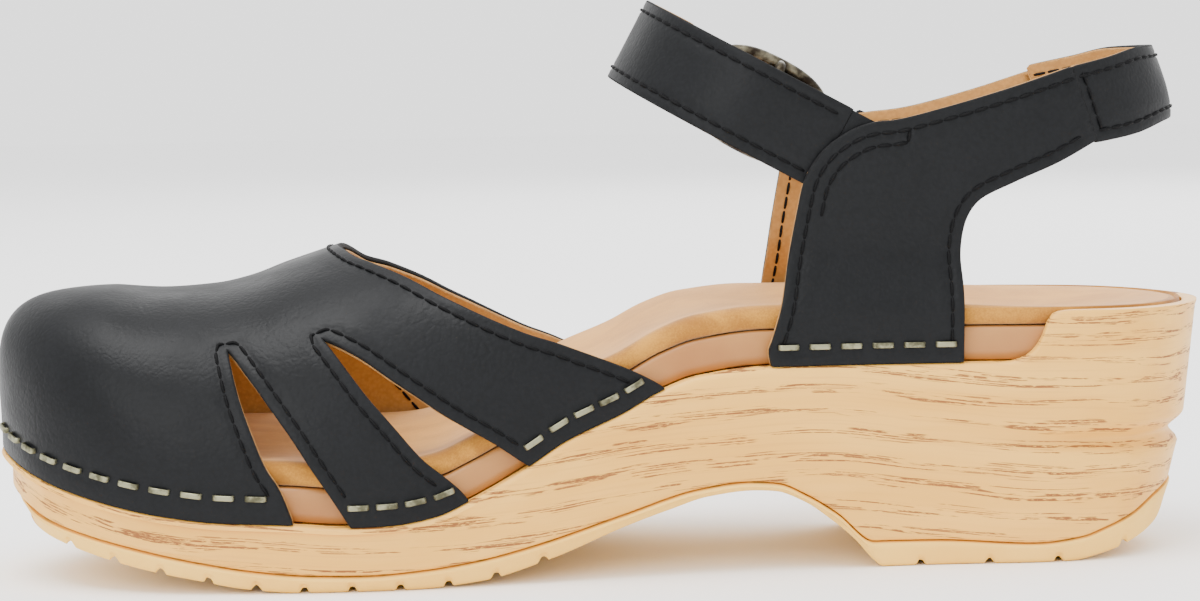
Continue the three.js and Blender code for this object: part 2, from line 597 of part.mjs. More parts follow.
// ---------------------------------------------------------------- staples
// Each row: first and last X, how many, and the height of the crowns over the ledge.
const stapleRows = [
  { name: "middle_band", first: -51.5, last: -34, count: 4, height: 4.1 },
  { name: "rear_band", first: -15.5, last: 5.5, count: 5, height: 4.3, outer: { last: 0, count: 4 } },
  { name: "quarter", first: 38, last: 71, count: 6, height: 4 },
];
function staplePlaces() {
  const places = [];
  for (const [side, sideName] of [[-1, "inner"], [1, "outer"]]) {
    for (const row of stapleRows) {
      const { last, count } = side > 0 && row.outer ? row.outer : row;
      for (let i = 0; i < count; i++) {
        const x = (row.first + ((last - row.first) * i) / (count - 1)) * sx;
        const at = (q) => new THREE.Vector3(q, edgeY(q, side, 0), ledge(q) + row.height);
        const lengthwise = at(x + 2).sub(at(x - 2)).normalize();
        const outward = new THREE.Vector3(lengthwise.y, -lengthwise.x, 0).multiplyScalar(-side).normalize();
        const upward = outward.clone().cross(lengthwise).normalize();
        const basis = new THREE.Matrix4().makeBasis(lengthwise, upward, lengthwise.clone().cross(upward));
        if (new THREE.Vector3(0, 0, 1).transformDirection(basis).dot(outward) < 0) {
          basis.makeBasis(lengthwise, upward.negate(), lengthwise.clone().cross(upward));
        }
        basis.setPosition(at(x).addScaledVector(outward, stapleRelief));
        places.push({ name: `staple_${sideName}_${row.name}_${i + 1}`, basis });
      }
    }
  }
  return places;
}
// Local X runs along the crown and Z out of the leather, with the crown's underside at zero.
function makeStaple(basis) {
  const [outer, inner] = [staple.width / 2, staple.width / 2 - staple.wire];
  const points = [[outer, staple.wire], [-outer, staple.wire], [-outer, -staple.leg], [-inner, -staple.leg],
    [-inner, 0], [inner, 0], [inner, -staple.leg], [outer, -staple.leg]];
  const shape = new THREE.Shape(points.map(([x, z]) => new THREE.Vector2(x, z)));
  const geometry = new THREE.ExtrudeGeometry(shape, { depth: staple.height, bevelEnabled: false });
  geometry.rotateX(Math.PI / 2).translate(0, staple.height / 2, 0);
  return solidOf(geometry.applyMatrix4(basis));
}
// The slit in the leathers and the frame that a staple's legs sit in.
function makeSlit(basis) {
  const size = [staple.width + 2 * gap, staple.height + 2 * gap, staple.leg + gap + 2];
  return block(size, [0, 0, (2 - staple.leg - gap) / 2], basis);
}

// ---------------------------------------------------------------- assembly
const finish = {
  leather: { color: 0x2d2f32, roughness: 0.55, metalness: 0 },
  tanLining: { color: 0xc8965f, roughness: 0.8, metalness: 0 },
  woodLook: { color: 0xe4cba0, roughness: 0.6, metalness: 0 },
  tread: { color: 0xe2c795, roughness: 0.75, metalness: 0 },
  frame: { color: 0xcda582, roughness: 0.6, metalness: 0 },
  suede: { color: 0xd9b98c, roughness: 0.95, metalness: 0 },
  foam: { color: 0x8c7a66, roughness: 0.9, metalness: 0 },
  metal: { color: 0x7d776a, roughness: 0.4, metalness: 0.9 },
};
const shoe = new THREE.Group();
function add(name, solid, look) {
  const mesh = solid.getMesh();
  const geometry = new THREE.BufferGeometry();
  geometry.setAttribute("position", new THREE.BufferAttribute(mesh.vertProperties, 3));
  geometry.setIndex(new THREE.BufferAttribute(mesh.triVerts, 1));
  const made = new THREE.Mesh(geometry, new THREE.MeshStandardMaterial(finish[look]));
  made.name = name;
  shoe.add(made);
}

const pieces = {
  staple_frame: makeStapleFrame(),
  vamp: makeVampLayer(0, leather),
  vamp_lining: makeVampLayer(leather + gap, leather + gap + lining),
};
const quarterSides = { inner: [-beyond, -0.5], outer: [0.5, beyond] };
for (const [side, [from, to]] of Object.entries(quarterSides)) {
  const key = side === "inner" ? -1 : 1;
  const outline = prism(
    [...quarterFront[key], ...quarterCorner, ...quarterArm[key], ...quarterBack], from, to);
  const sewnWidth = side === "inner" ? strapWidth : tabWidth;
  const reach = sewnLength + 30;
  const sewnRoom = block([reach, to - from, sewnWidth + 2 * gap],
    [reach / 2 - sewnLength - gap, (from + to) / 2, 0], strapFrame);
  pieces[`${side}_quarter`] = leatherShell.intersect(outline);
  pieces[`${side}_quarter_lining`] = liningShell.intersect(outline).subtract(sewnRoom);
}
const staples = staplePlaces();
for (const place of staples) {
  const slit = makeSlit(place.basis);
  for (const name of Object.keys(pieces)) pieces[name] = pieces[name].subtract(slit);
}

add("outsole", makeOutsole(), "tread");
add("sole_body", makeSoleBody(), "woodLook");
add("footbed_core", makeFootbedCore(), "foam");
add("footbed_cover", makeFootbedCover(), "suede");
for (const [name, solid] of Object.entries(pieces)) {
  add(name, solid, name === "staple_frame" ? "frame" : name.endsWith("lining") ? "tanLining" : "leather");
}
add("heel_strap", leatherShell.intersect(prism(heelStrapOutline)), "leather");
add("heel_strap_lining", liningShell.intersect(prism(heelStrapOutline)), "tanLining");
add("ankle_strap_root", makeStrapRoot(), "leather");
add("ankle_strap", makeStrapLayer(0, strapLeather), "leather");
add("ankle_strap_lining", makeStrapLayer(strapLeather + gap, strapThickness), "tanLining");
add("buckle_tab", makeBuckleTab(), "leather");
add("buckle_frame", makeBuckleFrame(), "metal");
add("buckle_prong", makeProng(), "metal");
add("keeper_loop", makeKeeper(), "leather");
for (const place of staples) add(place.name, makeStaple(place.basis), "metal");

// The part's origin: under the middle of its box, on the floor.
const box = new THREE.Box3().setFromObject(shoe, true);
const middle = box.getCenter(new THREE.Vector3());
shoe.position.set(-middle.x, -middle.y, -box.min.z);

export default shoe;
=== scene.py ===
"""A clog sandal: wood-look sole, stapled black leather vamp, heel strap and buckled ankle strap.

Every soft or moulded piece of the frame is rebuilt here as a fine surface from the same outlines. Shapes
are worked out in millimetres in the model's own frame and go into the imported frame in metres.
"""

import json
import math

import bpy
import numpy as np
from mathutils import Matrix, Vector
from mathutils.geometry import delaunay_2d_cdt


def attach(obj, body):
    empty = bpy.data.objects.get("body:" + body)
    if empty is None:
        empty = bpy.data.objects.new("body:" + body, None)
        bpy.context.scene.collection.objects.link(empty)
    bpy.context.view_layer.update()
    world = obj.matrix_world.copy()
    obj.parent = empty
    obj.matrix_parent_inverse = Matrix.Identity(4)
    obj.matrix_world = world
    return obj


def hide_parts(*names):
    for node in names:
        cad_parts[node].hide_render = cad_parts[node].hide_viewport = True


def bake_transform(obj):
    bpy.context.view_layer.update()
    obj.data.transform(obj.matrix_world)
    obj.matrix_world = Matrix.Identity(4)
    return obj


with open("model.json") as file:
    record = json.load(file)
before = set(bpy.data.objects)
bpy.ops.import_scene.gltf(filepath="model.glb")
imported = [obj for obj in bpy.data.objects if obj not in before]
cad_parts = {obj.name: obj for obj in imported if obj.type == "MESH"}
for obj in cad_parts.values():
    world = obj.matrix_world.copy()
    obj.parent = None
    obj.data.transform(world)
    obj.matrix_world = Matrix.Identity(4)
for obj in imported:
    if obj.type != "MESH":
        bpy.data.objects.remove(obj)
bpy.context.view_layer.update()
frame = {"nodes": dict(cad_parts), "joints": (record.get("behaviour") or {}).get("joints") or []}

# ------------------------------------------------------------------ sizes, in millimetres
GAP = 0.3
LEATHER, LINING = 1.3, 0.9
FRAME_WALL, FRAME_FLOOR, FRAME_HEIGHT = 3.2, 2.5, 7.4
COVER, FOOTBED_RISE, FOOTBED_DISH = 1.2, 5.2, 2.6
RIM_WALL = 3.0
TREAD_GROOVE_WIDTH, TREAD_GROOVE_DEPTH = 2.2, 1.1
ANKLE_HALF, ANKLE_CENTER = 30.0, 1.5
STRAP_WIDTH, STRAP_END_WIDTH, STRAP_REACH, FREE_END = 18.0, 14.5, 49.0, 22.0
STRAP_TILT, STRAP_RISE = math.radians(28.5), 0.045
STRAP_LEATHER, SEWN = 1.4, 12.0
RING_LENGTH, RING_WIDTH, RING_WIRE = 32.6, 23.6, 1.6
BAR_RADIUS, BAR_SET, BAR_PLACE = 1.2, 3.8, 13.0
TAB_LEATHER, TAB_WIDTH = 1.2, 16.0
KEEPER_LENGTH, KEEPER_LEATHER, KEEPER_FOOT = 5.0, 1.0, 1.0
STAPLE_WIDTH, STAPLE_HEIGHT, STAPLE_WIRE, STAPLE_LEG = 4.5, 1.15, 0.6, 5.4
STITCH_PITCH, STITCH_INSET, THREAD = 3.3, 2.2, 0.31
STRAP_STITCH_INSET, JOIN_STITCH_INSET = 2.1, 1.4
EDGE_ROUND, SEAM_DEPTH, STAPLE_DENT = 0.35, 0.22, 0.3
LEATHER_SPACING, LINING_SPACING = 1.9, 2.6
PER_SPAN = 60

# ------------------------------------------------------------------ curves
def curve(points):
    """A smooth function of x through the points, with no overshoot."""
    xs, vs = np.array(points, float).T
    h = np.diff(xs)
    slope = np.diff(vs) / h
    tangent = np.concatenate([slope[:1], np.zeros(len(xs) - 2), slope[-1:]])
    before, after = slope[:-1], slope[1:]
    same_way = before * after > 0
    total = np.where(same_way, before + after, 1)
    tangent[1:-1] = np.where(same_way, 2 * before * after / total, 0)

    def value(x):
        x = np.clip(x, xs[0], xs[-1])
        i = np.clip(np.searchsorted(xs, x) - 1, 0, len(xs) - 2)
        t = (x - xs[i]) / h[i]
        t2, t3 = t * t, t * t * t
        return ((2 * t3 - 3 * t2 + 1) * vs[i] + (t3 - 2 * t2 + t) * h[i] * tangent[i]
                + (3 * t2 - 2 * t3) * vs[i + 1] + (t3 - t2) * h[i] * tangent[i + 1])
    return value


def spline(points, closed=False):
    """Centripetal Catmull-Rom points through the given ones."""
    p = np.array(points, float)
    if closed:
        p = np.vstack([p[-1], p, p[0], p[1]])
    else:
        p = np.vstack([2 * p[0] - p[1], p, 2 * p[-1] - p[-2]])
    out = []
    w = np.linspace(0, 1, PER_SPAN, endpoint=False)[:, None]
    for a, b, c, d in zip(p, p[1:], p[2:], p[3:]):
        d0, d1, d2 = (max(np.linalg.norm(v), 1e-9) ** 0.5 for v in (b - a, c - b, d - c))
        t1 = ((b - a) / d0 - (c - a) / (d0 + d1) + (c - b) / d1) * d1
        t2 = ((c - b) / d1 - (d - b) / (d1 + d2) + (d - c) / d2) * d1
        out.append((2 * w**3 - 3 * w**2 + 1) * b + (w**3 - 2 * w**2 + w) * t1
                   + (3 * w**2 - 2 * w**3) * c + (w**3 - w**2) * t2)
    if not closed:
        out.append(p[-2][None])
    return np.vstack(out)


def lengths(points):
    return np.concatenate([[0], np.cumsum(np.linalg.norm(np.diff(points, axis=0), axis=1))])


def even(points, step):
    """The same line in even steps of about this length."""
    s = lengths(points)
    at = np.linspace(0, s[-1], max(2, int(round(s[-1] / step)) + 1))
    return np.stack([np.interp(at, s, points[:, k]) for k in range(points.shape[1])], 1)


def smooth(points, step=0.8):
    return even(spline(points), step)


def smoothstep(x, low, high):
    t = np.clip((x - low) / (high - low), 0, 1)
    return t * t * (3 - 2 * t)


def unit(v):
    return v / np.maximum(np.linalg.norm(v, axis=-1, keepdims=True), 1e-12)


# ------------------------------------------------------------------ the sole's plan and heights
TOE_TIP, HEEL_TIP = (-129, -8), (130.2, 1)
INNER_EDGE = [(-125, -21.5), (-115.5, -33), (-98, -42), (-72, -45.2), (-48, -45.5), (-20, -41.3), (10, -35.8),
              (42, -32.2), (70, -31.8), (95, -32.8), (113, -28.6), (125, -17)]
OUTER_EDGE = [(126.5, 15), (114.5, 28), (95, 33.5), (70, 34), (40, 36), (10, 41), (-20, 47.5), (-46, 50),
              (-72, 46), (-94, 37.5), (-111, 26.5), (-123, 11)]
PLAN = spline([TOE_TIP, *INNER_EDGE, HEEL_TIP, *OUTER_EDGE], closed=True)
PLAN = np.vstack([PLAN, PLAN[:1]])
PLAN_LENGTH = lengths(PLAN)[-1]
PLAN_SHARE = lengths(PLAN) / PLAN_LENGTH
HEEL_SHARE = PLAN_SHARE[PLAN[:, 0].argmax()]


def edge(share, side, inset):
    """Points of the sole's edge, from toe (0) to heel (1), moved inwards. Side is -1 for the inner side."""
    u = np.where(side < 0, HEEL_SHARE * share, 1 - (1 - HEEL_SHARE) * share)

    def at(v):
        return np.stack([np.interp(v % 1.0, PLAN_SHARE, PLAN[:, k]) for k in (0, 1)], -1)
    tangent = unit(at(u + 0.002) - at(u - 0.002))
    inward = np.stack([-tangent[..., 1], tangent[..., 0]], -1)
    return at(u) + inward * np.asarray(inset)[..., None]


EDGE_SHARES = np.linspace(0, 1, 400)


def edge_y(x, side, inset):
    """Y of the sole's edge at these X."""
    line = edge(EDGE_SHARES, np.full(400, side), np.full(400, float(inset)))
    return np.interp(x, line[:, 0], line[:, 1])


tread_bottom = curve([
    (-129, 17), (-124, 13.7), (-121, 11.4), (-112, 8.8), (-97, 5.2), (-85, 2.8), (-75, 0.9), (-64, 0),
    (-40, 0), (-27, 1), (-12, 5), (3, 10.7), (13, 14), (21, 16.3), (30, 17.2), (35, 16.9), (41, 14.6),
    (47, 10.4), (52, 6), (56, 1.4), (58, 0), (98, 0), (105, 1.2), (112, 3.2), (118, 5.8), (123, 9),
    (130, 14)])
parting = curve([
    (-129, 22), (-124.4, 17.8), (-119.5, 14.9), (-109, 11.9), (-96, 9), (-85, 6.7), (-73, 4.7),
    (-62, 3.7), (-50, 3.4), (-39, 4), (-27, 5.5), (-15, 8.2), (3, 13.5), (19, 18.1), (29, 19.2), (35.5, 18.7),
    (41.5, 16.1), (48, 12), (56, 5.6), (70, 5.4), (91, 4.3), (100, 5.2), (106, 7.1), (112, 9.5), (118, 12.9),
    (130, 17)])
ledge = curve([
    (-130, 28.6), (-126.7, 26.7), (-120, 23.8), (-113, 21.4), (-98, 17.7), (-90, 16.3), (-80, 15.1),
    (-66, 14.5), (-54, 13.7), (-45, 13.9), (-36, 15.3), (-29, 18.2), (-17, 24.6), (-9, 29.6), (3, 34.9),
    (11, 39.2), (19, 41.9), (33, 43.4), (60, 43.4), (130, 43)])
rim_height = curve([(80, 0), (84, 0.2), (87.4, 1.2), (89.6, 3), (91.4, 6), (92.6, 9.2), (94, 10.4),
                    (98, 10.8), (131, 10.8)])
heel_drop = curve([(60, 0), (95, 1.4), (130, 1.6)])
tread_inset = curve([(-129, 5.6), (-115, 3.8), (-90, 2.6), (48, 2.6), (60, 4.2), (131, 7.2)])
parting_inset = curve([(-129, 3.6), (-112, 2.2), (-60, 1.3), (48, 1.4), (60, 3.4), (131, 5.6)])
groove_inset = curve([(-129, 2.2), (-60, 1), (40, 1), (66, 2.4), (131, 5)])
shelf_inset = curve([(-129, 1.6), (-60, 0.8), (40, 0.8), (66, 1.4), (131, 2.5)])
rim_inset = curve([(80, 0.5), (131, -0.6)])
groove_share = curve([(-129, 0.45), (40, 0.52), (75, 0.56), (100, 0.54), (112, 0.48), (118, 0.43),
                      (125, 0.37), (131, 0.33)])
# The lanes of the grain: how high they run, nearly level where the sole rises, and how far apart.
grain_level = curve([(-129, 15.5), (-110, 7.5), (-92, 3.2), (-70, 1), (-50, 0), (-20, 1.5), (20, 5.6),
                     (45, 6.2), (66, 4), (89, 1.5), (120, 0.8), (131, 1.8)])
LANE = 4.8
dish_fade = curve([(-122, 0), (-100, 1), (100, 1), (122, 0)])
FRAME_INSET = GAP + LEATHER + GAP + LINING + GAP + 0.2


def side_top(x):
    return ledge(x) + rim_height(x)


def frame_top(x):
    return ledge(x) + FRAME_HEIGHT


def cover_edge(x):
    return frame_top(x) + FOOTBED_RISE - heel_drop(x)


def groove_height(x):
    return parting(x) + (ledge(x) - parting(x)) * groove_share(x)


def dish(x, share):
    return FOOTBED_DISH * dish_fade(x) * math.sin(share * math.pi / 2) ** 1.5


# ------------------------------------------------------------------ the strap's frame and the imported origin
ROOT = np.array([50, ANKLE_CENTER, 88.7])
ALONG = np.array([-math.cos(STRAP_TILT), 0, math.sin(STRAP_TILT)])
OUTWARDS = np.array([0, 1, STRAP_RISE])
ACROSS = np.array([-math.sin(STRAP_TILT), 0, -math.cos(STRAP_TILT)])
STRAP_THICKNESS = STRAP_LEATHER + GAP + LINING
ROOT_FACE = ANKLE_HALF - LEATHER - GAP
OVER_QUARTER = ANKLE_HALF + GAP
RING_PLANE = OVER_QUARTER + STRAP_THICKNESS + GAP + RING_WIRE
BAR_V = RING_PLANE - BAR_SET
LOOP_RADIUS = BAR_RADIUS + GAP + TAB_LEATHER
OVER_BAR = BAR_V + LOOP_RADIUS + GAP
RING_FRONT = BAR_PLACE + RING_LENGTH / 2 - RING_WIRE
RING_REAR = BAR_PLACE - RING_LENGTH / 2 + RING_WIRE
HINGE_U, HINGE_V = 2.05, -(ROOT_FACE - 1.3)


def from_strap(u, v, w):
    """Model points from the strap's frame: u along it, v towards the outer side, w across it."""
    u, v, w = np.broadcast_arrays(np.asarray(u, float), v, w)
    return ROOT + u[..., None] * ALONG + v[..., None] * OUTWARDS + w[..., None] * ACROSS


hinge_joint = next(j for j in frame["joints"] if j["name"] == "strap_open")
OFFSET = np.array(hinge_joint["pos_m"]) * 1000 - from_strap(HINGE_U, HINGE_V, 0)


def packed(points):
    return (np.asarray(points, float) + OFFSET) / 1000


# ------------------------------------------------------------------ meshes
def make_mesh(name, points, faces, materials, face_materials=None, sharp=None, grain=None):
    mesh = bpy.data.meshes.new(name)
    mesh.from_pydata(packed(points).tolist(), [], [list(map(int, f)) for f in faces])
    for m in materials:
        mesh.materials.append(m)
    if face_materials is not None:
        mesh.polygons.foreach_set("material_index", np.asarray(face_materials, np.int32))
    mesh.polygons.foreach_set("use_smooth", np.ones(len(mesh.polygons), bool))
    if sharp:
        mesh.set_sharp_from_angle(angle=math.radians(sharp))
    if grain is not None:
        layer = mesh.attributes.new("grain", "FLOAT_VECTOR", "POINT")
        layer.data.foreach_set("vector", np.asarray(grain, np.float32).ravel())
    mesh.validate()
    mesh.update()
    obj = bpy.data.objects.new(name, mesh)
    bpy.context.scene.collection.objects.link(obj)
    return obj


def put(obj, body, slot, *nodes):
    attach(obj, body)
    if nodes:
        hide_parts(*nodes)
    return obj


def weld(points, faces, *extras):
    """Joins equal points and drops the faces that vanish."""
    _, first, back = np.unique(np.round(points, 3), axis=0, return_index=True, return_inverse=True)
    back = back.reshape(-1)
    kept = []
    for face in faces:
        ring = [back[i] for i in face]
        ring = [a for a, b in zip(ring, ring[1:] + ring[:1]) if a != b]
        if len(ring) > 2:
            kept.append(ring)
    return (points[first], kept, *[e[first] for e in extras])


def grid_faces(rows, columns, closed=False, flip=False):
    """Quads of a grid of points that is stored row by row."""
    r, c = np.meshgrid(np.arange(rows - 1), np.arange(columns if closed else columns - 1), indexing="ij")
    nxt = (c + 1) % columns
    quads = [r * columns + c, r * columns + nxt, (r + 1) * columns + nxt, (r + 1) * columns + c]
    faces = np.stack([q.ravel() for q in quads], 1)
    return faces[:, ::-1] if flip else faces


def tube(points, radii, sides=12, closed=False):
    """Points and faces of a round wire along a line. Radii may vary along it."""
    p = np.asarray(points, float)
    n = len(p)
    radii = np.broadcast_to(np.asarray(radii, float), (n,))
    if closed:
        t = unit(np.roll(p, -1, 0) - np.roll(p, 1, 0))
    else:
        t = unit(np.gradient(p, axis=0))
    reference = np.array([0.0, 1, 0]) if np.abs(t[:, 1]).max() < 0.95 else np.array([0.31, 0.2, 0.93])
    a = unit(reference - t * (t @ reference)[:, None])
    b = np.cross(t, a)
    angle = np.arange(sides) / sides * 2 * math.pi
    ring = (a[:, None] * np.cos(angle)[None, :, None] + b[:, None] * np.sin(angle)[None, :, None])
    out = p[:, None] + ring * radii[:, None, None]
    rows = n + 1 if closed else n
    faces = grid_faces(rows, sides, closed=True) % (n * sides)
    faces = faces.tolist()
    if not closed:
        faces.append(list(range(sides)))
        faces.append(list(range((n - 1) * sides, n * sides))[::-1])
    return out.reshape(-1, 3), [f[::-1] for f in faces]


def merged(parts):
    """One list of points and faces from several."""
    points, faces, start = [], [], 0
    for p, f in parts:
        points.append(p)
        faces += [[i + start for i in face] for face in f]
        start += len(p)
    return np.vstack(points), faces


# ------------------------------------------------------------------ materials
class Look:
    """A material made of nodes around one Principled shader."""

    def __init__(self, name, roughness, metallic=0.0, specular=0.5, sheen=0.0, coat=0.0):
        self.material = bpy.data.materials.new(name)
        self.material.use_nodes = True
        self.tree = self.material.node_tree
        self.tree.nodes.clear()
        output = self.tree.nodes.new("ShaderNodeOutputMaterial")
        self.shader = self.tree.nodes.new("ShaderNodeBsdfPrincipled")
        self.tree.links.new(self.shader.outputs[0], output.inputs[0])
        self.shader.inputs["Roughness"].default_value = roughness
        self.shader.inputs["Metallic"].default_value = metallic
        self.shader.inputs["Specular IOR Level"].default_value = specular
        self.shader.inputs["Sheen Weight"].default_value = sheen
        self.shader.inputs["Coat Weight"].default_value = coat
        self.bump_normal = None

    def node(self, kind, settings=None, **inputs):
        made = self.tree.nodes.new("ShaderNode" + kind)
        for key, value in (settings or {}).items():
            setattr(made, key, value)
        for key, value in inputs.items():
            socket = made.inputs[int(key[1:])] if key[0] == "i" and key[1:].isdigit() else made.inputs[key]
            self.set(socket, value)
        return made

    def set(self, socket, value):
        if isinstance(value, bpy.types.NodeSocket):
            self.tree.links.new(value, socket)
        else:
            socket.default_value = value

    def place(self, attribute=None):
        """Position on the piece, or the attribute that stands for it."""
        if attribute:
            return self.node("Attribute", {"attribute_name": attribute}).outputs["Vector"]
        return self.node("TexCoord").outputs["Object"]

    def scaled(self, where, scale):
        return self.node("Mapping", Vector=where, Scale=scale).outputs[0]

    def noise(self, where, scale, detail=3.0, roughness=0.5, distortion=0.0):
        return self.node("TexNoise", Vector=where, Scale=scale, Detail=detail, Roughness=roughness,
                         Distortion=distortion).outputs[0]

    def cells(self, where, scale, feature="F1"):
        return self.node("TexVoronoi", {"feature": feature}, Vector=where, Scale=scale).outputs["Distance"]

    def band(self, value, low, high, out_low=0.0, out_high=1.0):
        made = self.node("MapRange", {"interpolation_type": "SMOOTHSTEP"}, i0=value, i1=low, i2=high,
                         i3=out_low, i4=out_high)
        return made.outputs[0]

    def math(self, operation, a, b=0.0):
        return self.node("Math", {"operation": operation}, i0=a, i1=b).outputs[0]

    def mix(self, factor, a, b):
        made = self.node("Mix", {"data_type": "RGBA"})
        self.set(made.inputs[0], factor)
        self.set(made.inputs[6], a)
        self.set(made.inputs[7], b)
        return made.outputs[2]

    def color(self, value):
        self.set(self.shader.inputs["Base Color"], value)

    def roughness(self, value):
        self.set(self.shader.inputs["Roughness"], value)

    def bump(self, height, strength, distance):
        made = self.node("Bump", Height=height, Strength=strength, Distance=distance)
        if self.bump_normal:
            self.set(made.inputs["Normal"], self.bump_normal)
        self.bump_normal = made.outputs[0]
        self.set(self.shader.inputs["Normal"], self.bump_normal)


def rgb(red, green, blue):
    """A linear colour from an 8-bit one."""
    return tuple((v / 255 / 12.92) if v <= 10 else ((v / 255 + 0.055) / 1.055) ** 2.4
                 for v in (red, green, blue)) + (1.0,)


def leather_look(name, dark, light, roughness, grain, specular=0.5):
    """Finished leather: pebbled grain, faint creases, soft changes of colour and gloss."""
    look = Look(name, roughness, specular=specular)
    where = look.place()
    warp = look.noise(where, 160, detail=2)
    jitter = look.node("TexNoise", Vector=where, Scale=900.0, Detail=1.0).outputs["Color"]
    bent = look.node("VectorMath", {"operation": "MULTIPLY_ADD"}, i0=jitter, i1=(0.0006, 0.0006, 0.0006),
                     i2=where)
    pebbles = look.cells(bent.outputs[0], 1250, feature="SMOOTH_F1")
    pores = look.noise(where, 2600, detail=4, roughness=0.65)
    creases = look.cells(bent.outputs[0], 330, feature="DISTANCE_TO_EDGE")
    patch = look.band(look.noise(where, 38, detail=4), 0.35, 0.7)
    crease_lines = look.band(creases, 0.0, 0.16, 0.0, 1.0)
    tone = look.band(pebbles, 0.15, 0.75, 1.0, 0.55)
    tone = look.math("MULTIPLY", tone, look.band(warp, 0.2, 0.8, 0.75, 1.0))
    tone = look.math("MULTIPLY", tone, look.band(patch, 0, 1, 0.8, 1.0))
    look.color(look.mix(tone, dark, light))
    look.roughness(look.band(look.math("ADD", patch, look.math("MULTIPLY", pores, 0.6)), 0.2, 1.4,
                             roughness - 0.07, roughness + 0.1))
    look.bump(pebbles, 0.22 * grain, 0.00022)
    look.bump(crease_lines, 0.10 * grain, 0.00015)
    look.bump(pores, 0.18 * grain, 0.00010)
    return look.material


def edge_look(name, dark, light, roughness):
    """The cut edge of leather, with short fibres."""
    look = Look(name, roughness, specular=0.25)
    where = look.place()
    fibres = look.noise(where, 2200, detail=5, roughness=0.7)
    clumps = look.noise(where, 420, detail=3)
    look.color(look.mix(look.band(look.math("MULTIPLY", fibres, clumps), 0.12, 0.42), dark, light))
    look.bump(fibres, 0.5, 0.00025)
    return look.material


def wood_look():
    """Cast foam with a printed wood grain: level lanes of thin, broken strands that run along the sole."""
    look = Look("wood_look", 0.42, specular=0.3)
    along = look.place(attribute="grain")
    waves = look.noise(look.scaled(along, (0.025, 0.05, 0.05)), 1.0, detail=1)
    bend = look.node("CombineXYZ", Y=look.math("MULTIPLY", waves, 2.4)).outputs[0]
    bent = look.node("VectorMath", {"operation": "ADD"}, i0=along, i1=bend).outputs[0]
    parts = look.node("SeparateXYZ", i0=bent)

    def stretched(x, y):
        return look.scaled(bent, (x, y, 0.12))
    lane = look.math("DIVIDE", parts.outputs[1], LANE)
    from_lane = look.math("MULTIPLY", look.math("PINGPONG", lane, 0.5), LANE)
    wide = look.band(look.noise(stretched(0.035, 0.25), 1.0, detail=2), 0.38, 0.62, 0.25, 1.45)
    toe = look.band(look.math("ABSOLUTE", parts.outputs[0]), 10, 80, 0.5, 0.0)
    width = look.math("ADD", wide, toe)
    lanes = look.band(from_lane, width, look.math("ADD", width, 0.35), 1.0, 0.0)
    strands = look.band(look.noise(stretched(0.03, 3.1), 1.0, detail=2, roughness=0.5), 0.50, 0.545)
    breaks = look.band(look.noise(stretched(0.13, 0.8), 1.0, detail=2), 0.41, 0.48)
    ticks = look.band(look.noise(stretched(0.5, 4.0), 1.0, detail=3, roughness=0.7), 0.38, 0.50)
    broken = look.math("MULTIPLY", ticks, breaks)
    dashes = look.math("MULTIPLY", look.math("MULTIPLY", lanes, strands), broken)
    faint = look.band(look.noise(stretched(0.035, 1.6), 1.0, detail=3), 0.52, 0.68, 0.0, 0.25)
    tint = look.band(look.noise(stretched(0.01, 0.12), 1.0, detail=3), 0.3, 0.7)
    base = look.mix(tint, rgb(226, 166, 68), rgb(236, 181, 84))
    base = look.mix(faint, base, rgb(206, 144, 70))
    look.color(look.mix(look.math("MULTIPLY", dashes, 0.85), base, rgb(112, 52, 26)))
    look.roughness(look.band(dashes, 0, 1, 0.42, 0.6))
    look.bump(look.math("MULTIPLY", dashes, -1.0), 0.35, 0.00012)
    look.bump(look.noise(look.place(), 900, detail=3), 0.06, 0.0001)
    return look.material


def cast_look(name, base, shade, roughness, pits):
    """Plain cast foam or plastic: slight cloudiness and a fine moulded texture."""
    look = Look(name, roughness, specular=0.4)
    where = look.place()
    cloud = look.noise(where, 45, detail=4)
    fine = look.noise(where, 1500, detail=4, roughness=0.6)
    look.color(look.mix(look.band(cloud, 0.3, 0.7), base, shade))
    look.roughness(look.band(fine, 0.3, 0.7, roughness - 0.06, roughness + 0.08))
    look.bump(fine, pits, 0.00015)
    look.bump(cloud, 0.05, 0.0008)
    return look.material


def suede_look(name, base, shade, nap):
    """Suede: a short nap that lies in patches, with fine folds."""
    look = Look(name, 0.85, specular=0.2, sheen=0.25)
    where = look.place()
    fibres = look.noise(where, 2400, detail=5, roughness=0.75)
    patches = look.noise(look.scaled(where, (0.6, 1, 1)), 130, detail=4, distortion=0.6)
    folds = look.cells(look.scaled(where, (1, 0.6, 1)), 210, feature="DISTANCE_TO_EDGE")
    tone = look.math("ADD", look.math("MULTIPLY", fibres, 0.45), look.math("MULTIPLY", patches, 0.55))
    look.color(look.mix(look.band(tone, 0.36, 0.64), shade, base))
    look.bump(fibres, 0.3 * nap, 0.0002)
    look.bump(look.band(folds, 0, 0.12), 0.12 * nap, 0.0002)
    return look.material


def metal_look(name, bright, dark, roughness, tarnish):
    """Antiqued metal: bright where it is rubbed, dark and dull elsewhere."""
    look = Look(name, roughness, metallic=1.0)
    where = look.place()
    blots = look.noise(where, 240, detail=5, roughness=0.6)
    scratches = look.noise(look.scaled(where, (1, 1, 6)), 700, detail=3)
    worn = look.band(blots, 0.5 - tarnish * 0.2, 0.62)
    look.color(look.mix(worn, bright, dark))
    look.roughness(look.band(look.math("ADD", blots, look.math("MULTIPLY", scratches, 0.4)), 0.4, 0.9,
                             roughness - 0.1, roughness + 0.2))
    look.bump(scratches, 0.12, 0.00008)
    look.bump(blots, 0.1, 0.0002)
    return look.material


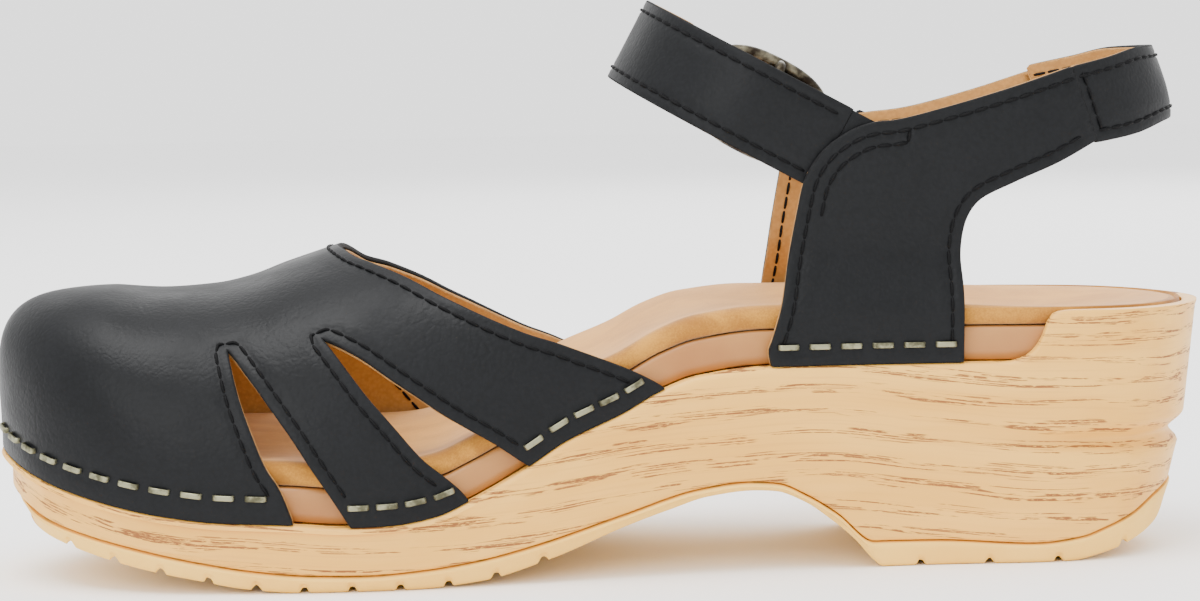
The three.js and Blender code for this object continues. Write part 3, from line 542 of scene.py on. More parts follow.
def thread_look():
    """Waxed twisted thread."""
    look = Look("black_thread", 0.6, specular=0.1)
    where = look.place()
    twist = look.noise(look.scaled(where, (2.2, 1, 1.4)), 2600, detail=2)
    look.color(look.mix(look.band(twist, 0.35, 0.65), rgb(4, 4, 5), rgb(13, 13, 14)))
    look.bump(twist, 0.6, 0.00015)
    return look.material


black = leather_look("black_leather", rgb(9, 10, 11), rgb(19, 20, 22), 0.42, 1.0, specular=0.13)
black_edge = edge_look("black_cut_edge", rgb(5, 5, 6), rgb(20, 21, 22), 0.85)
tan = leather_look("tan_lining", rgb(142, 98, 46), rgb(178, 130, 68), 0.66, 0.6, specular=0.3)
tan_edge = edge_look("tan_cut_edge", rgb(150, 110, 62), rgb(180, 135, 80), 0.85)
wood = wood_look()
tread = cast_look("tread", rgb(238, 186, 82), rgb(244, 196, 92), 0.6, 0.12)
frame_plastic = cast_look("frame_plastic", rgb(156, 102, 50), rgb(168, 116, 60), 0.42, 0.05)
foam = cast_look("foam", rgb(140, 122, 102), rgb(122, 104, 86), 0.9, 0.4)
# Two copies of the same suede: the footbed's top copy is painted lighter as lit from above, and the rolled
# edge copy is painted darker as shaded.
suede = suede_look("suede", rgb(188, 132, 48), rgb(150, 98, 32), 0.9)
lit_footbed_top = suede_look("lit_footbed_top", rgb(212, 150, 62), rgb(192, 132, 50), 0.7)
pewter = metal_look("antique_pewter", rgb(116, 110, 92), rgb(36, 30, 24), 0.36, 1.0)
dull_brass = metal_look("dull_brass", rgb(140, 138, 112), rgb(86, 84, 66), 0.42, 0.3)
thread = thread_look()

# ------------------------------------------------------------------ camera
CAMERA_DISTANCE, CAMERA_HEIGHT = 650, 111
CAMERA_AZIMUTH, CAMERA_PITCH, CAMERA_ROLL = math.radians(2.0), math.radians(4.9), math.radians(-1.0)
LENS = 89.8


def make_camera():
    sin_a, cos_a = math.sin(CAMERA_AZIMUTH), math.cos(CAMERA_AZIMUTH)
    place = np.array([-CAMERA_DISTANCE * sin_a, -CAMERA_DISTANCE * cos_a, CAMERA_HEIGHT])
    pitch = math.cos(CAMERA_PITCH)
    forward = Vector((sin_a * pitch, cos_a * pitch, -math.sin(CAMERA_PITCH)))
    level = Vector((cos_a, -sin_a, 0))
    right = math.cos(CAMERA_ROLL) * level + math.sin(CAMERA_ROLL) * level.cross(forward)
    up = right.cross(forward)
    data = bpy.data.cameras.new("camera")
    data.lens, data.sensor_width = LENS, 36
    data.clip_start, data.clip_end = 0.01, 20
    camera = bpy.data.objects.new("camera", data)
    turn = Matrix((right, up, -forward)).transposed().to_4x4()
    camera.matrix_world = Matrix.Translation(Vector(packed(place))) @ turn
    bpy.context.scene.collection.objects.link(camera)
    bpy.context.scene.camera = camera


make_camera()


# ------------------------------------------------------------------ pieces of the sole's plan
def plan_piece(name, rows, count, materials, second_from=None, lift=None, grain_line=None):
    """A closed solid round the sole's plan. Each row is (inset, height, share of the way to the middle), the
    first and last rows meeting in the middle line; inset and height may be functions of x. From the row
    second_from on it has the second material."""
    share = np.concatenate([np.linspace(0, 1, count + 1), np.linspace(1, 0, count + 1)[1:-1]])
    side = np.concatenate([-np.ones(count + 1), np.ones(count - 1)])
    rim, far_rim = edge(share, side, 0 * share), edge(share, -side, 0 * share)

    def value(v, x):
        return v(x) if callable(v) else np.full(len(x), float(v))
    points, along = [], []
    for inset, height, middle in rows:
        near = edge(share, side, value(inset, rim[:, 0]))
        far = edge(share, -side, value(inset, far_rim[:, 0]))
        p = near + (far - near) * middle / 2
        z = value(height, p[:, 0])
        if lift is not None:
            z = z + lift(p[:, 0], z)
        points.append(np.column_stack([p, z]))
        along.append(np.where(side < 0, HEEL_SHARE * share, -(1 - HEEL_SHARE) * share) * PLAN_LENGTH)
    points = np.vstack(points)
    level = grain_line(points[:, 0]) if grain_line else 0
    grain = np.column_stack([np.concatenate(along), points[:, 2] - level, points[:, 1]])
    row = np.repeat(np.arange(len(rows)), len(share))
    faces = grid_faces(len(rows), len(share), closed=True, flip=True)
    points, faces, grain, row = weld(points, faces.tolist(), grain, row)
    slots = None
    if second_from is not None:
        slots = [int(row[list(f)].min() >= second_from) for f in faces]
    obj = make_mesh(name, points, faces, materials, slots, sharp=50, grain=grain)
    return obj


def plus(function, extra):
    return lambda x: function(x) + extra


def between(f, g, t):
    return lambda x: f(x) + (g(x) - f(x)) * t


def make_outsole():
    forefoot = np.linspace(-112, -14, 11)
    heel = np.linspace(66, 110, 4)
    grooves = np.concatenate([forefoot, heel])

    def groove(x, z):
        away = np.abs(x[:, None] - grooves).min(1)
        low = np.clip((tread_bottom(x) + 2.2 - z) / 1.2, 0, 1)
        return TREAD_GROOVE_DEPTH * (1 - smoothstep(away, 0.35, TREAD_GROOVE_WIDTH / 2)) * low
    start, end = plus(tread_bottom, 1), plus(parting, -0.9)
    side = [(between(tread_inset, parting_inset, t), between(start, end, t), 0) for t in np.linspace(0, 1, 5)]
    bottom = [(tread_inset, tread_bottom, m) for m in (1, 0.8, 0.55, 0.3, 0.12)]
    top = [(parting_inset, plus(parting, -GAP / 2), m) for m in (0.5, 1)]
    rows = [*bottom, (plus(tread_inset, 1.1), tread_bottom, 0),
            (plus(tread_inset, 0.3), plus(tread_bottom, 0.3), 0),
            *side, (plus(parting_inset, 0.2), plus(parting, -0.4), 0),
            (plus(parting_inset, 0.9), plus(parting, -GAP / 2), 0), *top]
    obj = plan_piece("tread_fine", rows, 620, [tread], lift=groove)
    put(obj, "shoe", "tread", "outsole")


def make_sole_body():
    """The sole, whose side curves in to the middle of a soft groove along the heel and out again above."""
    below, above = 2.8, 4.2
    start, foot, head = plus(parting, GAP / 2), plus(groove_height, -below), plus(groove_height, above)
    hollow = curve([(60, 0), (74, 0), (100, 1.4), (131, 1.5)])

    def flush(x):
        return 0 * x

    def brow(x):
        return groove_inset(x) - 0.7 * hollow(x)

    def deepest(x):
        return groove_inset(x) + 0.6 * hollow(x)
    low = [(between(parting_inset, brow, t), between(plus(start, 0.9), foot, t), 0)
           for t in np.linspace(0, 1, 6)]
    dip = [(between(brow, deepest, smoothstep(t, 0, 1)), plus(groove_height, below * (t - 1)), 0)
           for t in (0.25, 0.5, 0.75, 1)]
    step = [(between(deepest, shelf_inset, smoothstep(t, 0, 1)), plus(groove_height, above * t), 0)
            for t in np.linspace(0, 1, 10)[1:]]
    high = [(between(shelf_inset, flush, t), between(head, plus(side_top, -1.3), t), 0)
            for t in np.linspace(0, 1, 8)[1:]]
    rim = [(between(flush, rim_inset, 0.5), plus(side_top, -0.55), 0),
           (plus(rim_inset, 0.25), plus(side_top, -0.12), 0), (plus(rim_inset, 0.9), side_top, 0),
           (RIM_WALL - 0.8, side_top, 0), (RIM_WALL - 0.2, plus(side_top, -0.3), 0),
           (RIM_WALL, ledge, 0), (RIM_WALL, ledge, 0.5), (RIM_WALL, ledge, 1)]
    rows = [(parting_inset, start, 1), (parting_inset, start, 0.5), (plus(parting_inset, 0.8), start, 0),
            (plus(parting_inset, 0.2), plus(start, 0.3), 0), *low, *dip, *step, *high, *rim]
    obj = plan_piece("wood_look_sole", rows, 260, [wood], grain_line=grain_level)
    put(obj, "shoe", "wood_look", "sole_body")


def make_staple_frame():
    inner = FRAME_INSET + FRAME_WALL
    rows = [(FRAME_INSET, plus(ledge, GAP), 1), (FRAME_INSET, plus(ledge, GAP), 0.5),
            (FRAME_INSET + 0.5, plus(ledge, GAP), 0), (FRAME_INSET + 0.1, plus(ledge, GAP + 0.3), 0),
            (FRAME_INSET - 0.1, plus(ledge, 2.4), 0), (FRAME_INSET - 0.1, plus(frame_top, -2.2), 0),
            (FRAME_INSET, plus(frame_top, -1.1), 0), (FRAME_INSET + 0.3, plus(frame_top, -0.35), 0),
            (FRAME_INSET + 1.0, frame_top, 0), (inner - 0.4, frame_top, 0), (inner, plus(frame_top, -0.5), 0),
            *[(inner, plus(ledge, FRAME_FLOOR), middle) for middle in (0, 0.5, 1)]]
    obj = plan_piece("staple_band", rows, 200, [frame_plastic])
    put(obj, "shoe", "frame_plastic", "staple_frame")


def make_footbed_cover():
    low = plus(frame_top, GAP)
    inner = FRAME_INSET + COVER
    under = [(inner + 1.4, lambda x, m=m: cover_edge(x) - COVER - dish(x, m), m)
             for m in (1, 0.75, 0.45, 0.2)]
    roll = [(0.9, 0.0, low), (0.35, 0.25, low), (0.0, 1.2, low), (-0.1, 2.4, low), (0.1, 3.5, low)]
    top = [(FRAME_INSET + 2.4, lambda x, m=m: cover_edge(x) - dish(x, m), m)
           for m in (0.03, 0.1, 0.2, 0.32, 0.45, 0.6, 0.75, 0.9, 1)]
    rows = [*under, (inner + 1.4, plus(cover_edge, -COVER), 0), (inner + 0.2, low, 0),
            *[(FRAME_INSET + i + 0.1, plus(f, up), 0) for i, up, f in roll],
            (FRAME_INSET + 0.7, plus(cover_edge, -0.75), 0), (FRAME_INSET + 1.4, plus(cover_edge, -0.2), 0),
            (FRAME_INSET + 2.4, cover_edge, 0), *top]
    # The top rows take the lighter copy of the suede: painted light on the footbed's top, painted shade on
    # its rolled edge.
    obj = plan_piece("footbed_suede", rows, 200, [suede, lit_footbed_top], second_from=len(rows) - len(top) - 1)
    put(obj, "shoe", "suede", "footbed_cover")


# ------------------------------------------------------------------ leather sheets
class Skin:
    """A curved surface as a grid of model points over a flat pattern in millimetres."""

    def __init__(self, us, vs, points):
        self.us, self.vs, self.points = np.asarray(us, float), np.asarray(vs, float), points
        du = np.gradient(points, self.us, axis=0)
        dv = np.gradient(points, self.vs, axis=1)
        self.normals = unit(np.cross(du, dv))

    def sample(self, grid, uv):
        uv = np.asarray(uv, float)
        i = np.clip(np.searchsorted(self.us, uv[..., 0]) - 1, 0, len(self.us) - 2)
        j = np.clip(np.searchsorted(self.vs, uv[..., 1]) - 1, 0, len(self.vs) - 2)
        a = ((uv[..., 0] - self.us[i]) / (self.us[i + 1] - self.us[i]))[..., None]
        b = ((uv[..., 1] - self.vs[j]) / (self.vs[j + 1] - self.vs[j]))[..., None]
        a, b = np.clip(a, -0.5, 1.5), np.clip(b, -0.5, 1.5)
        return ((1 - a) * (1 - b) * grid[i, j] + a * (1 - b) * grid[i + 1, j]
                + (1 - a) * b * grid[i, j + 1] + a * b * grid[i + 1, j + 1])

    def at(self, uv, depth=0.0):
        normal = unit(self.sample(self.normals, uv))
        return self.sample(self.points, uv) - normal * np.asarray(depth)[..., None]

    def normal(self, uv):
        return unit(self.sample(self.normals, uv))

    def slopes(self, uv):
        h = 0.25
        step_u, step_v = np.array([h, 0]), np.array([0, h])
        return ((self.at(uv + step_u) - self.at(uv - step_u)) / (2 * h),
                (self.at(uv + step_v) - self.at(uv - step_v)) / (2 * h))

    def pattern_step(self, uv, move):
        """The step in the pattern that moves a point by this much in space."""
        a, b = self.slopes(uv)
        aa, bb, ab = (a * a).sum(-1), (b * b).sum(-1), (a * b).sum(-1)
        ma, mb = (move * a).sum(-1), (move * b).sum(-1)
        det = np.maximum(aa * bb - ab * ab, 1e-6)
        return np.stack([(bb * ma - ab * mb) / det, (aa * mb - ab * ma) / det], -1)

    def locate(self, x, z, side):
        """The pattern point at this X and Z, on the inner (-1) or outer (1) side."""
        flat = self.points[..., [0, 2]]
        away = ((flat - np.array([x, z])) ** 2).sum(-1)
        away = np.where((self.us * side < 0)[:, None], 1e9, away)
        i, j = np.unravel_index(away.argmin(), away.shape)
        uv = np.array([self.us[i], self.vs[j]])
        for _ in range(12):
            a, b = (s[[0, 2]] for s in self.slopes(uv))
            miss = np.array([x, z]) - self.at(uv)[[0, 2]]
            m = np.stack([a, b], 1)
            step = np.linalg.lstsq(m.T @ m + 1e-4 * np.eye(2), m.T @ miss, rcond=None)[0]
            uv = uv + np.clip(step, -3, 3)
            uv = np.clip(uv, [self.us[0], self.vs[0]], [self.us[-1], self.vs[-1]])
        return uv


def beside(skin, line, distance):
    """A line in the pattern, this far to the left of another one, seen from outside."""
    p = skin.at(line)
    tangent = unit(np.gradient(p, axis=0))
    left = unit(np.cross(skin.normal(line), tangent))
    moved = line + skin.pattern_step(line, left * distance)
    keep = np.ones(len(moved), bool)
    new = skin.at(moved)
    for k in range(len(moved)):
        keep[k] = np.linalg.norm(p - new[k], axis=1).min() > abs(distance) * 0.93
    return even(moved[keep], 0.7)


def inside(points, polygon):
    x, y = points[:, 0], points[:, 1]
    hit = np.zeros(len(points), bool)
    for a, b in zip(polygon, np.roll(polygon, -1, 0)):
        crosses = (a[1] > y) != (b[1] > y)
        height = b[1] - a[1] if b[1] != a[1] else 1e-12
        hit ^= crosses & (x < (b[0] - a[0]) * (y - a[1]) / height + a[0])
    return hit


def nearest(points, targets):
    """Distance from each point to the nearest target, worked out in parts to save memory."""
    if not len(targets):
        return np.full(len(points), 1e9)
    out, chunk = [], 2000
    for k in range(0, len(points), chunk):
        d = points[k:k + chunk, None] - targets[None]
        out.append(np.sqrt((d * d).sum(-1).min(1)))
    return np.concatenate(out)


def triangulate(outline, cuts, lines, spacing):
    """Pattern points and triangles inside an outline and outside the cuts, with points along the lines."""
    loops = [outline, *cuts]
    border = np.vstack(loops)
    low, high = border.min(0), border.max(0)
    xs = np.arange(low[0], high[0], spacing)
    ys = np.arange(low[1], high[1], spacing * 0.866)
    x, y = np.meshgrid(xs, ys)
    x = x + (np.arange(len(ys)) % 2)[:, None] * spacing / 2
    filling = np.column_stack([x.ravel(), y.ravel()])
    extra = [beside_line for beside_line in lines if len(beside_line)]
    extra = np.vstack(extra) if extra else np.zeros((0, 2))
    if len(extra):
        extra = extra[nearest(extra, border) > 0.55]
    filling = filling[nearest(filling, np.vstack([border, extra])) > spacing * 0.55]
    free = np.vstack([extra, filling])
    keep = inside(free, outline)
    for cut in cuts:
        keep &= ~inside(free, cut)
    free = free[keep]
    edges, start = [], 0
    for loop in loops:
        n = len(loop)
        edges += [(start + k, start + (k + 1) % n) for k in range(n)]
        start += n
    coords = [Vector(p) for p in np.vstack([border, free])]
    made = delaunay_2d_cdt(coords, edges, [], 0, 1e-4)
    points = np.array([[v[0], v[1]] for v in made[0]])
    triangles = np.array([f for f in made[2] if len(f) == 3])
    centers = points[triangles].mean(1)
    keep = inside(centers, outline)
    for cut in cuts:
        keep &= ~inside(centers, cut)
    return points, triangles[keep]


def boundary(faces):
    """Directed edges that only one face has."""
    seen = {}
    for f in faces:
        for a, b in zip(f, f[1:] + f[:1]):
            seen[(a, b)] = True
    return [e for e in seen if (e[1], e[0]) not in seen]


def point_normals(points, triangles):
    t = np.asarray(triangles)
    area = np.cross(points[t[:, 1]] - points[t[:, 0]], points[t[:, 2]] - points[t[:, 0]])
    normals = np.zeros_like(points)
    for k in range(3):
        np.add.at(normals, t[:, k], area)
    return unit(normals)


def sheet(name, skin, outline, materials, depth=0.0, thick=LEATHER, cuts=(), seams=(), dents=(),
          spacing=LEATHER_SPACING):
    """A closed sheet of leather on a skin: outer face, rounded cut edge, inner face. Seams are pressed in."""
    lines = []
    for seam in seams:
        lines += [seam, beside(skin, seam, 0.9), beside(skin, seam, -0.9)]
    pattern, triangles = triangulate(outline, list(cuts), lines, spacing)
    points = skin.at(pattern, depth)
    triangles = triangles.tolist()
    points, triangles = weld(points, triangles)
    normals = point_normals(points, triangles)
    middle_uv = pattern[len(pattern) // 2]
    facing = skin.normal(middle_uv)
    nearby = np.linalg.norm(points - skin.at(middle_uv, depth), axis=1).argmin()
    if normals[nearby] @ facing < 0:
        triangles = [t[::-1] for t in triangles]
        normals = -normals
    rim = boundary(triangles)
    rim_points = sorted({a for a, _ in rim})
    out = np.zeros_like(points)
    for a, b in rim:
        across = np.cross(unit(points[b] - points[a]), normals[a] + normals[b])
        out[a] += across
        out[b] += across
    out = unit(out)
    inner = points - normals * thick
    if len(seams):
        seam_points = skin.at(np.vstack(seams), depth)
        away = nearest(points, seam_points)
        beads = 0.3 * np.exp(-(((away - 1.3) / 0.6) ** 2))
        sink = SEAM_DEPTH * (np.exp(-((away / 0.55) ** 2)) - beads)
        points = points - normals * sink[:, None]
    if len(dents):
        away = nearest(points, np.vstack(dents))
        points = points - normals * (STAPLE_DENT * np.exp(-((away / 1.1) ** 2)))[:, None]
    r = min(EDGE_ROUND, thick * 0.45)
    angles = np.radians([30, 60, 90])
    profile = [(r * math.sin(a), r * (1 - math.cos(a))) for a in angles]
    profile += [(x, thick - y) for x, y in profile[::-1]]
    n = len(points)
    index = {p: k for k, p in enumerate(rim_points)}
    rows = [points[rim_points] + out[rim_points] * x - normals[rim_points] * y for x, y in profile]
    all_points = np.vstack([points, inner, *rows])
    faces = list(triangles) + [[n + i for i in t[::-1]] for t in triangles]
    slots = [0] * len(triangles) + [2] * len(triangles)

    def row_index(row, p):
        if row == 0:
            return p
        if row == len(profile) + 1:
            return n + p
        return 2 * n + (row - 1) * len(rim_points) + index[p]
    for row in range(len(profile) + 1):
        for a, b in rim:
            faces.append([row_index(row, b), row_index(row, a), row_index(row + 1, a), row_index(row + 1, b)])
            slots.append(1)
    return make_mesh(name, all_points, faces, materials, slots)


STITCH_AT = np.array([0.03, 0.13, 0.32, 0.5, 0.68, 0.87, 0.97])
STITCH_LIFT = np.array([-0.45, -0.13, 0.05, 0.11, 0.05, -0.13, -0.45])
STITCH_WIDTH = np.array([0.7, 0.95, 1.1, 1.12, 1.1, 0.95, 0.7]) * THREAD


def stitches(name, skin, seams, depth, outward=1):
    """Rows of thread along seams, each stitch a short bent thread whose ends dive into the leather."""
    shapes = []
    for seam in seams:
        p = skin.at(seam, depth)
        s = lengths(p)
        count = max(1, int(round(s[-1] / STITCH_PITCH)))
        step = s[-1] / count
        for k in range(count):
            at = (k + STITCH_AT) * step
            uv = np.stack([np.interp(at, s, seam[:, q]) for q in (0, 1)], -1)
            shapes.append(tube(skin.at(uv, depth - outward * STITCH_LIFT), STITCH_WIDTH, sides=6))
    points, faces = merged(shapes)
    return make_mesh(name, points, faces, [thread])


BLACK = [black, black_edge, black_edge]
TAN = [tan, tan_edge, tan]
INSIDE_DEPTH = LEATHER + GAP + LINING

# ------------------------------------------------------------------ vamp
SPINE_START = -104
crown = curve([(-104, 61), (-93, 60.2), (-83, 60.7), (-75.5, 62.2), (-68, 64.9), (-58, 68.1), (-40, 73.5),
               (-20, 79.5), (0, 85), (60, 100)])
spine_y = curve([(-104, -5), (-60, 1), (-20, 3), (20, 2)])
roundness = curve([(-129, 3.8), (-118, 3.4), (-95, 2.6), (20, 2.3)])
toe_bulge = curve([(-129, 1.6), (-90, 0.8), (-50, 0.4), (20, 0.2)])
CUT_OUTS = [
    ([(-78.2, 50), (-77.4, 46), (-75.7, 39.8), (-73.2, 32.7), (-70.5, 26), (-67.8, 21.6), (-66.4, 18)],
     [(-73.6, 44.8), (-68.8, 38.3), (-64.4, 32), (-60.5, 25.8), (-57, 20.5), (-53, 13.9)]),
    ([(-58.8, 52), (-57.1, 49.8), (-49.9, 40.4), (-44, 33.5), (-38.4, 26.9), (-34.4, 23.5), (-31, 20.4),
      (-29.6, 18.7)],
     [(-52.4, 49.3), (-44.5, 44), (-37.3, 39), (-29.5, 33.8), (-23.3, 30), (-17.1, 25.6)])]
TOPLINES = {
    -1: [(-53, 67.4), (-48.5, 66), (-40.5, 62.9), (-32, 58.6), (-20.3, 53.2), (-8.4, 48.9), (3.3, 44.2),
         (11.6, 39.9)],
    1: [(-53, 64.9), (-47, 62.3), (-39.2, 58.4), (-26.3, 51.2), (-13.3, 44.9), (-4.5, 41.2), (3, 38.8),
        (8.2, 38.1)]}
THROAT_X = -56.8
VAMP_SHARE = 0.66
VAMP_LENGTH = HEEL_SHARE * PLAN_LENGTH * VAMP_SHARE
VAMP_RISE = 70.0


def dome():
    """The surface that the vamp lies on, over its length round the toe and its height."""
    us = np.linspace(-1, 1, 501)
    share = np.abs(us) * VAMP_SHARE
    side = np.where(us < 0, -1, 1)
    foot = edge(share, side, np.full(len(us), GAP))
    out = foot - edge(share, side, np.full(len(us), GAP + 1))
    zero = 0 * share
    x = edge(share, side, zero)[:, 0]
    top_x = np.maximum((x + edge(share, -side, zero)[:, 0]) / 2, SPINE_START)
    top = np.column_stack([top_x, spine_y(top_x)])
    base = ledge(x) + GAP
    height = crown(top_x) - base
    rise = 121
    grid = np.zeros((len(us), rise, 3))
    angle = np.linspace(0, 1, 400) ** 1.35 * math.pi / 2
    angle = np.unique(np.concatenate([angle, math.pi / 2 - np.geomspace(1e-5, 0.3, 60)]))
    for k in range(len(us)):
        power = 2 / roundness(x[k])
        wide = np.cos(angle) ** power
        wide[-1] = 0
        bulge = toe_bulge(x[k]) * np.sin(2 * angle)
        flat = top[k] + wide[:, None] * (foot[k] - top[k]) + out[k] * bulge[:, None]
        line = np.column_stack([flat, base[k] + height[k] * np.sin(angle) ** power])
        s = lengths(line)
        at = np.linspace(0, s[-1], rise)
        grid[k] = np.stack([np.interp(at, s, line[:, q]) for q in range(3)], -1)
    skin = Skin(us * VAMP_LENGTH, np.linspace(0, VAMP_RISE, rise), grid)
    # The normals along the top line and at the point where it starts are the means of those beside it.
    rows = 5
    below = skin.normals[:, -rows]
    top = unit(below + below[::-1])
    fan = top_x <= SPINE_START
    top[fan] = unit(top[fan].mean(0))
    for k in range(rows):
        share_up = k / (rows - 1)
        skin.normals[:, k - rows] = unit(below * (1 - share_up) + top * share_up)
    return skin


def make_vamp():
    skin = dome()
    probe = np.array([[-0.3 * VAMP_LENGTH, 20.0]])
    if skin.normal(probe)[0][1] > 0 and skin.at(probe)[0][1] < 0:
        skin.normals = -skin.normals
    spine = skin.points[:, -1, 0]
    half = len(skin.us) // 2
    throat = np.interp(THROAT_X, spine[half:], skin.us[half:])
    sides = {}
    for side in (-1, 1):
        line = [skin.locate(x, z, side) for x, z in TOPLINES[side]]
        line[-1][1] = 0
        first = np.array([side * throat, VAMP_RISE])
        ghost = np.array([line[0][0], 2 * VAMP_RISE - line[0][1]])
        sides[side] = even(spline([ghost, first, *line])[PER_SPAN:], 0.8)
    steps = np.arange(0, throat, 1.0)[1:]
    seam_half = np.column_stack([steps[::-1], np.full(len(steps), VAMP_RISE)])
    seam = np.vstack([seam_half, [[0, VAMP_RISE]], seam_half[::-1] * [-1, 1]])
    foot_start, foot_end = sides[-1][-1][0], sides[1][-1][0]
    foot = np.column_stack([np.linspace(foot_start, foot_end, 520)[1:-1], np.zeros(518)])
    outline = np.vstack([foot, sides[1][::-1], seam, sides[-1]])
    cuts, seams = [], []
    over_staples = 4.6
    for side in (-1, 1):
        for front, rear in CUT_OUTS:
            f = [skin.locate(x, z, side) for x, z in front]
            r = [skin.locate(x, z, side) for x, z in rear]
            for line in (f, r):
                down = line[-1] - line[-2]
                line[-1] = line[-2] + down * (line[-2][1] / max(-down[1], 1e-6))
            path = smooth([*f[::-1], *r])
            below = np.array([0, -4.0])
            cuts.append(np.vstack([path, path[-1] + below, path[0] + below]))
            row = beside(skin, path, -side * STITCH_INSET)
            seams.append(row[row[:, 1] > over_staples])
    for side in (-1, 1):
        row = beside(skin, sides[side], side * STITCH_INSET)
        seams.append(row[row[:, 1] > over_staples])
    staple_lines = [staple_line(p) for p in staple_places if p[3] != "quarter"]
    vamp = sheet("vamp_leather", skin, outline, BLACK, cuts=cuts, seams=seams, dents=staple_lines)
    put(vamp, "shoe", "black_leather", "vamp")
    inside_layer = sheet("vamp_inside", skin, outline, TAN, depth=LEATHER + GAP, thick=LINING, cuts=cuts,
                         spacing=LINING_SPACING)
    put(inside_layer, "shoe", "tan_lining", "vamp_lining")
    put(stitches("vamp_stitching", skin, seams, 0.0), "shoe", "black_leather")
    put(stitches("vamp_stitching_inside", skin, seams, INSIDE_DEPTH, outward=-1), "shoe", "tan_lining")


# ------------------------------------------------------------------ quarters and heel strap
QUARTER_FRONT = {
    -1: [(34.6, 43.75), (34.2, 46.8), (34.8, 48.4), (36.8, 54.8), (38.9, 66), (41.1, 76.8), (42.1, 81)],
    1: [(37.6, 43.75), (37.4, 46.8), (37.8, 48.4), (38.6, 54.8), (40, 66), (41.9, 76.8), (42.8, 81.5)]}
QUARTER_CORNER = [(43.2, 83.6), (44.7, 86), (46.7, 88.3), (50.1, 90.8), (53.7, 92.6), (57.1, 93.5)]
QUARTER_ARM = {-1: [(61.6, 93.9), (71.5, 96.2), (86.4, 100.3), (98.9, 104.2)],
               1: [(62.5, 94.2), (71.5, 95.2), (86.4, 98.9), (99.3, 103)]}
QUARTER_BACK = [(104.3, 89.2), (96, 85), (86.1, 81), (78.6, 77.4), (76.1, 74.3), (74.9, 70.9), (74.3, 65.9),
                (74.6, 59.3), (74.4, 43.75)]
HEEL_LOW = curve([(104.65, 88.8), (114, 90.4), (122, 92.8), (126, 93.6)])
HEEL_HIGH = curve([(99.25, 104.3), (108.3, 106.3), (115.8, 108.2), (122, 108.6), (126, 108.8)])
heel_back = curve([(0, 125.2), (94, 125.2), (112, 120)])
CLOSING = 72.0


def sleeve_y(x, z, side):
    """Y of the surface that the quarters lie on: the sole's edge below, the ankle's oval above."""
    lean = smoothstep(z, 54, 67)
    foot = edge_y(np.minimum(x, 80), side, GAP)
    high = ANKLE_CENTER + side * ANKLE_HALF
    shut = np.clip((x - CLOSING) / (heel_back(z) - CLOSING), 0, 1)
    wide = np.sqrt(1 - shut**2.3)
    return ANKLE_CENTER + (foot + (high - foot) * lean - ANKLE_CENTER) * wide


def make_quarters():
    for side, name in ((-1, "inner"), (1, "outer")):
        xs, zs = np.linspace(31, 108, 120), np.linspace(42.5, 107, 100)
        x, z = np.meshgrid(xs, zs, indexing="ij")
        grid = np.stack([x, sleeve_y(x, z, side), z], -1)
        skin = Skin(xs, zs, grid)
        skin.normals = skin.normals * np.sign(skin.normals[60, 50, 1] * side)
        front = smooth([*QUARTER_FRONT[side], *QUARTER_CORNER, *QUARTER_ARM[side]])
        back = smooth(QUARTER_BACK)
        end = even(np.array([front[-1], back[0]]), 0.8)[1:-1]
        foot = even(np.array([back[-1], front[0]]), 0.8)[1:-1]
        outline = np.vstack([front, end, back, foot])
        sense = side * STITCH_INSET
        rows = [beside(skin, front, sense), beside(skin, back, sense)]
        rows = [row[(row[:, 1] > 47) & (row[:, 0] < 101)] for row in rows]
        corner = beside(skin, front, side * (STITCH_INSET + 2.6))
        corner = corner[(corner[:, 1] > 74) & (corner[:, 0] < 64)]
        end_row = even(np.array([corner[-1], corner[-1] + [0.4, 2.6]]), 0.5)
        seams = [*rows, corner, end_row]
        staple_lines = [staple_line(p) for p in staple_places if p[3] == "quarter" and p[2] == side]
        leather = sheet(f"{name}_quarter_leather", skin, outline, BLACK, seams=seams, dents=staple_lines)
        put(leather, "shoe", "black_leather", f"{name}_quarter")
        layer = sheet(f"{name}_quarter_inside", skin, outline, TAN, depth=LEATHER + GAP, thick=LINING,
                      spacing=LINING_SPACING)
        put(layer, "shoe", "tan_lining", f"{name}_quarter_lining")
        put(stitches(f"{name}_quarter_stitching", skin, seams, 0.0), "shoe", "black_leather")
        put(stitches(f"{name}_quarter_stitching_inside", skin, rows, INSIDE_DEPTH, outward=-1), "shoe",
            "tan_lining")


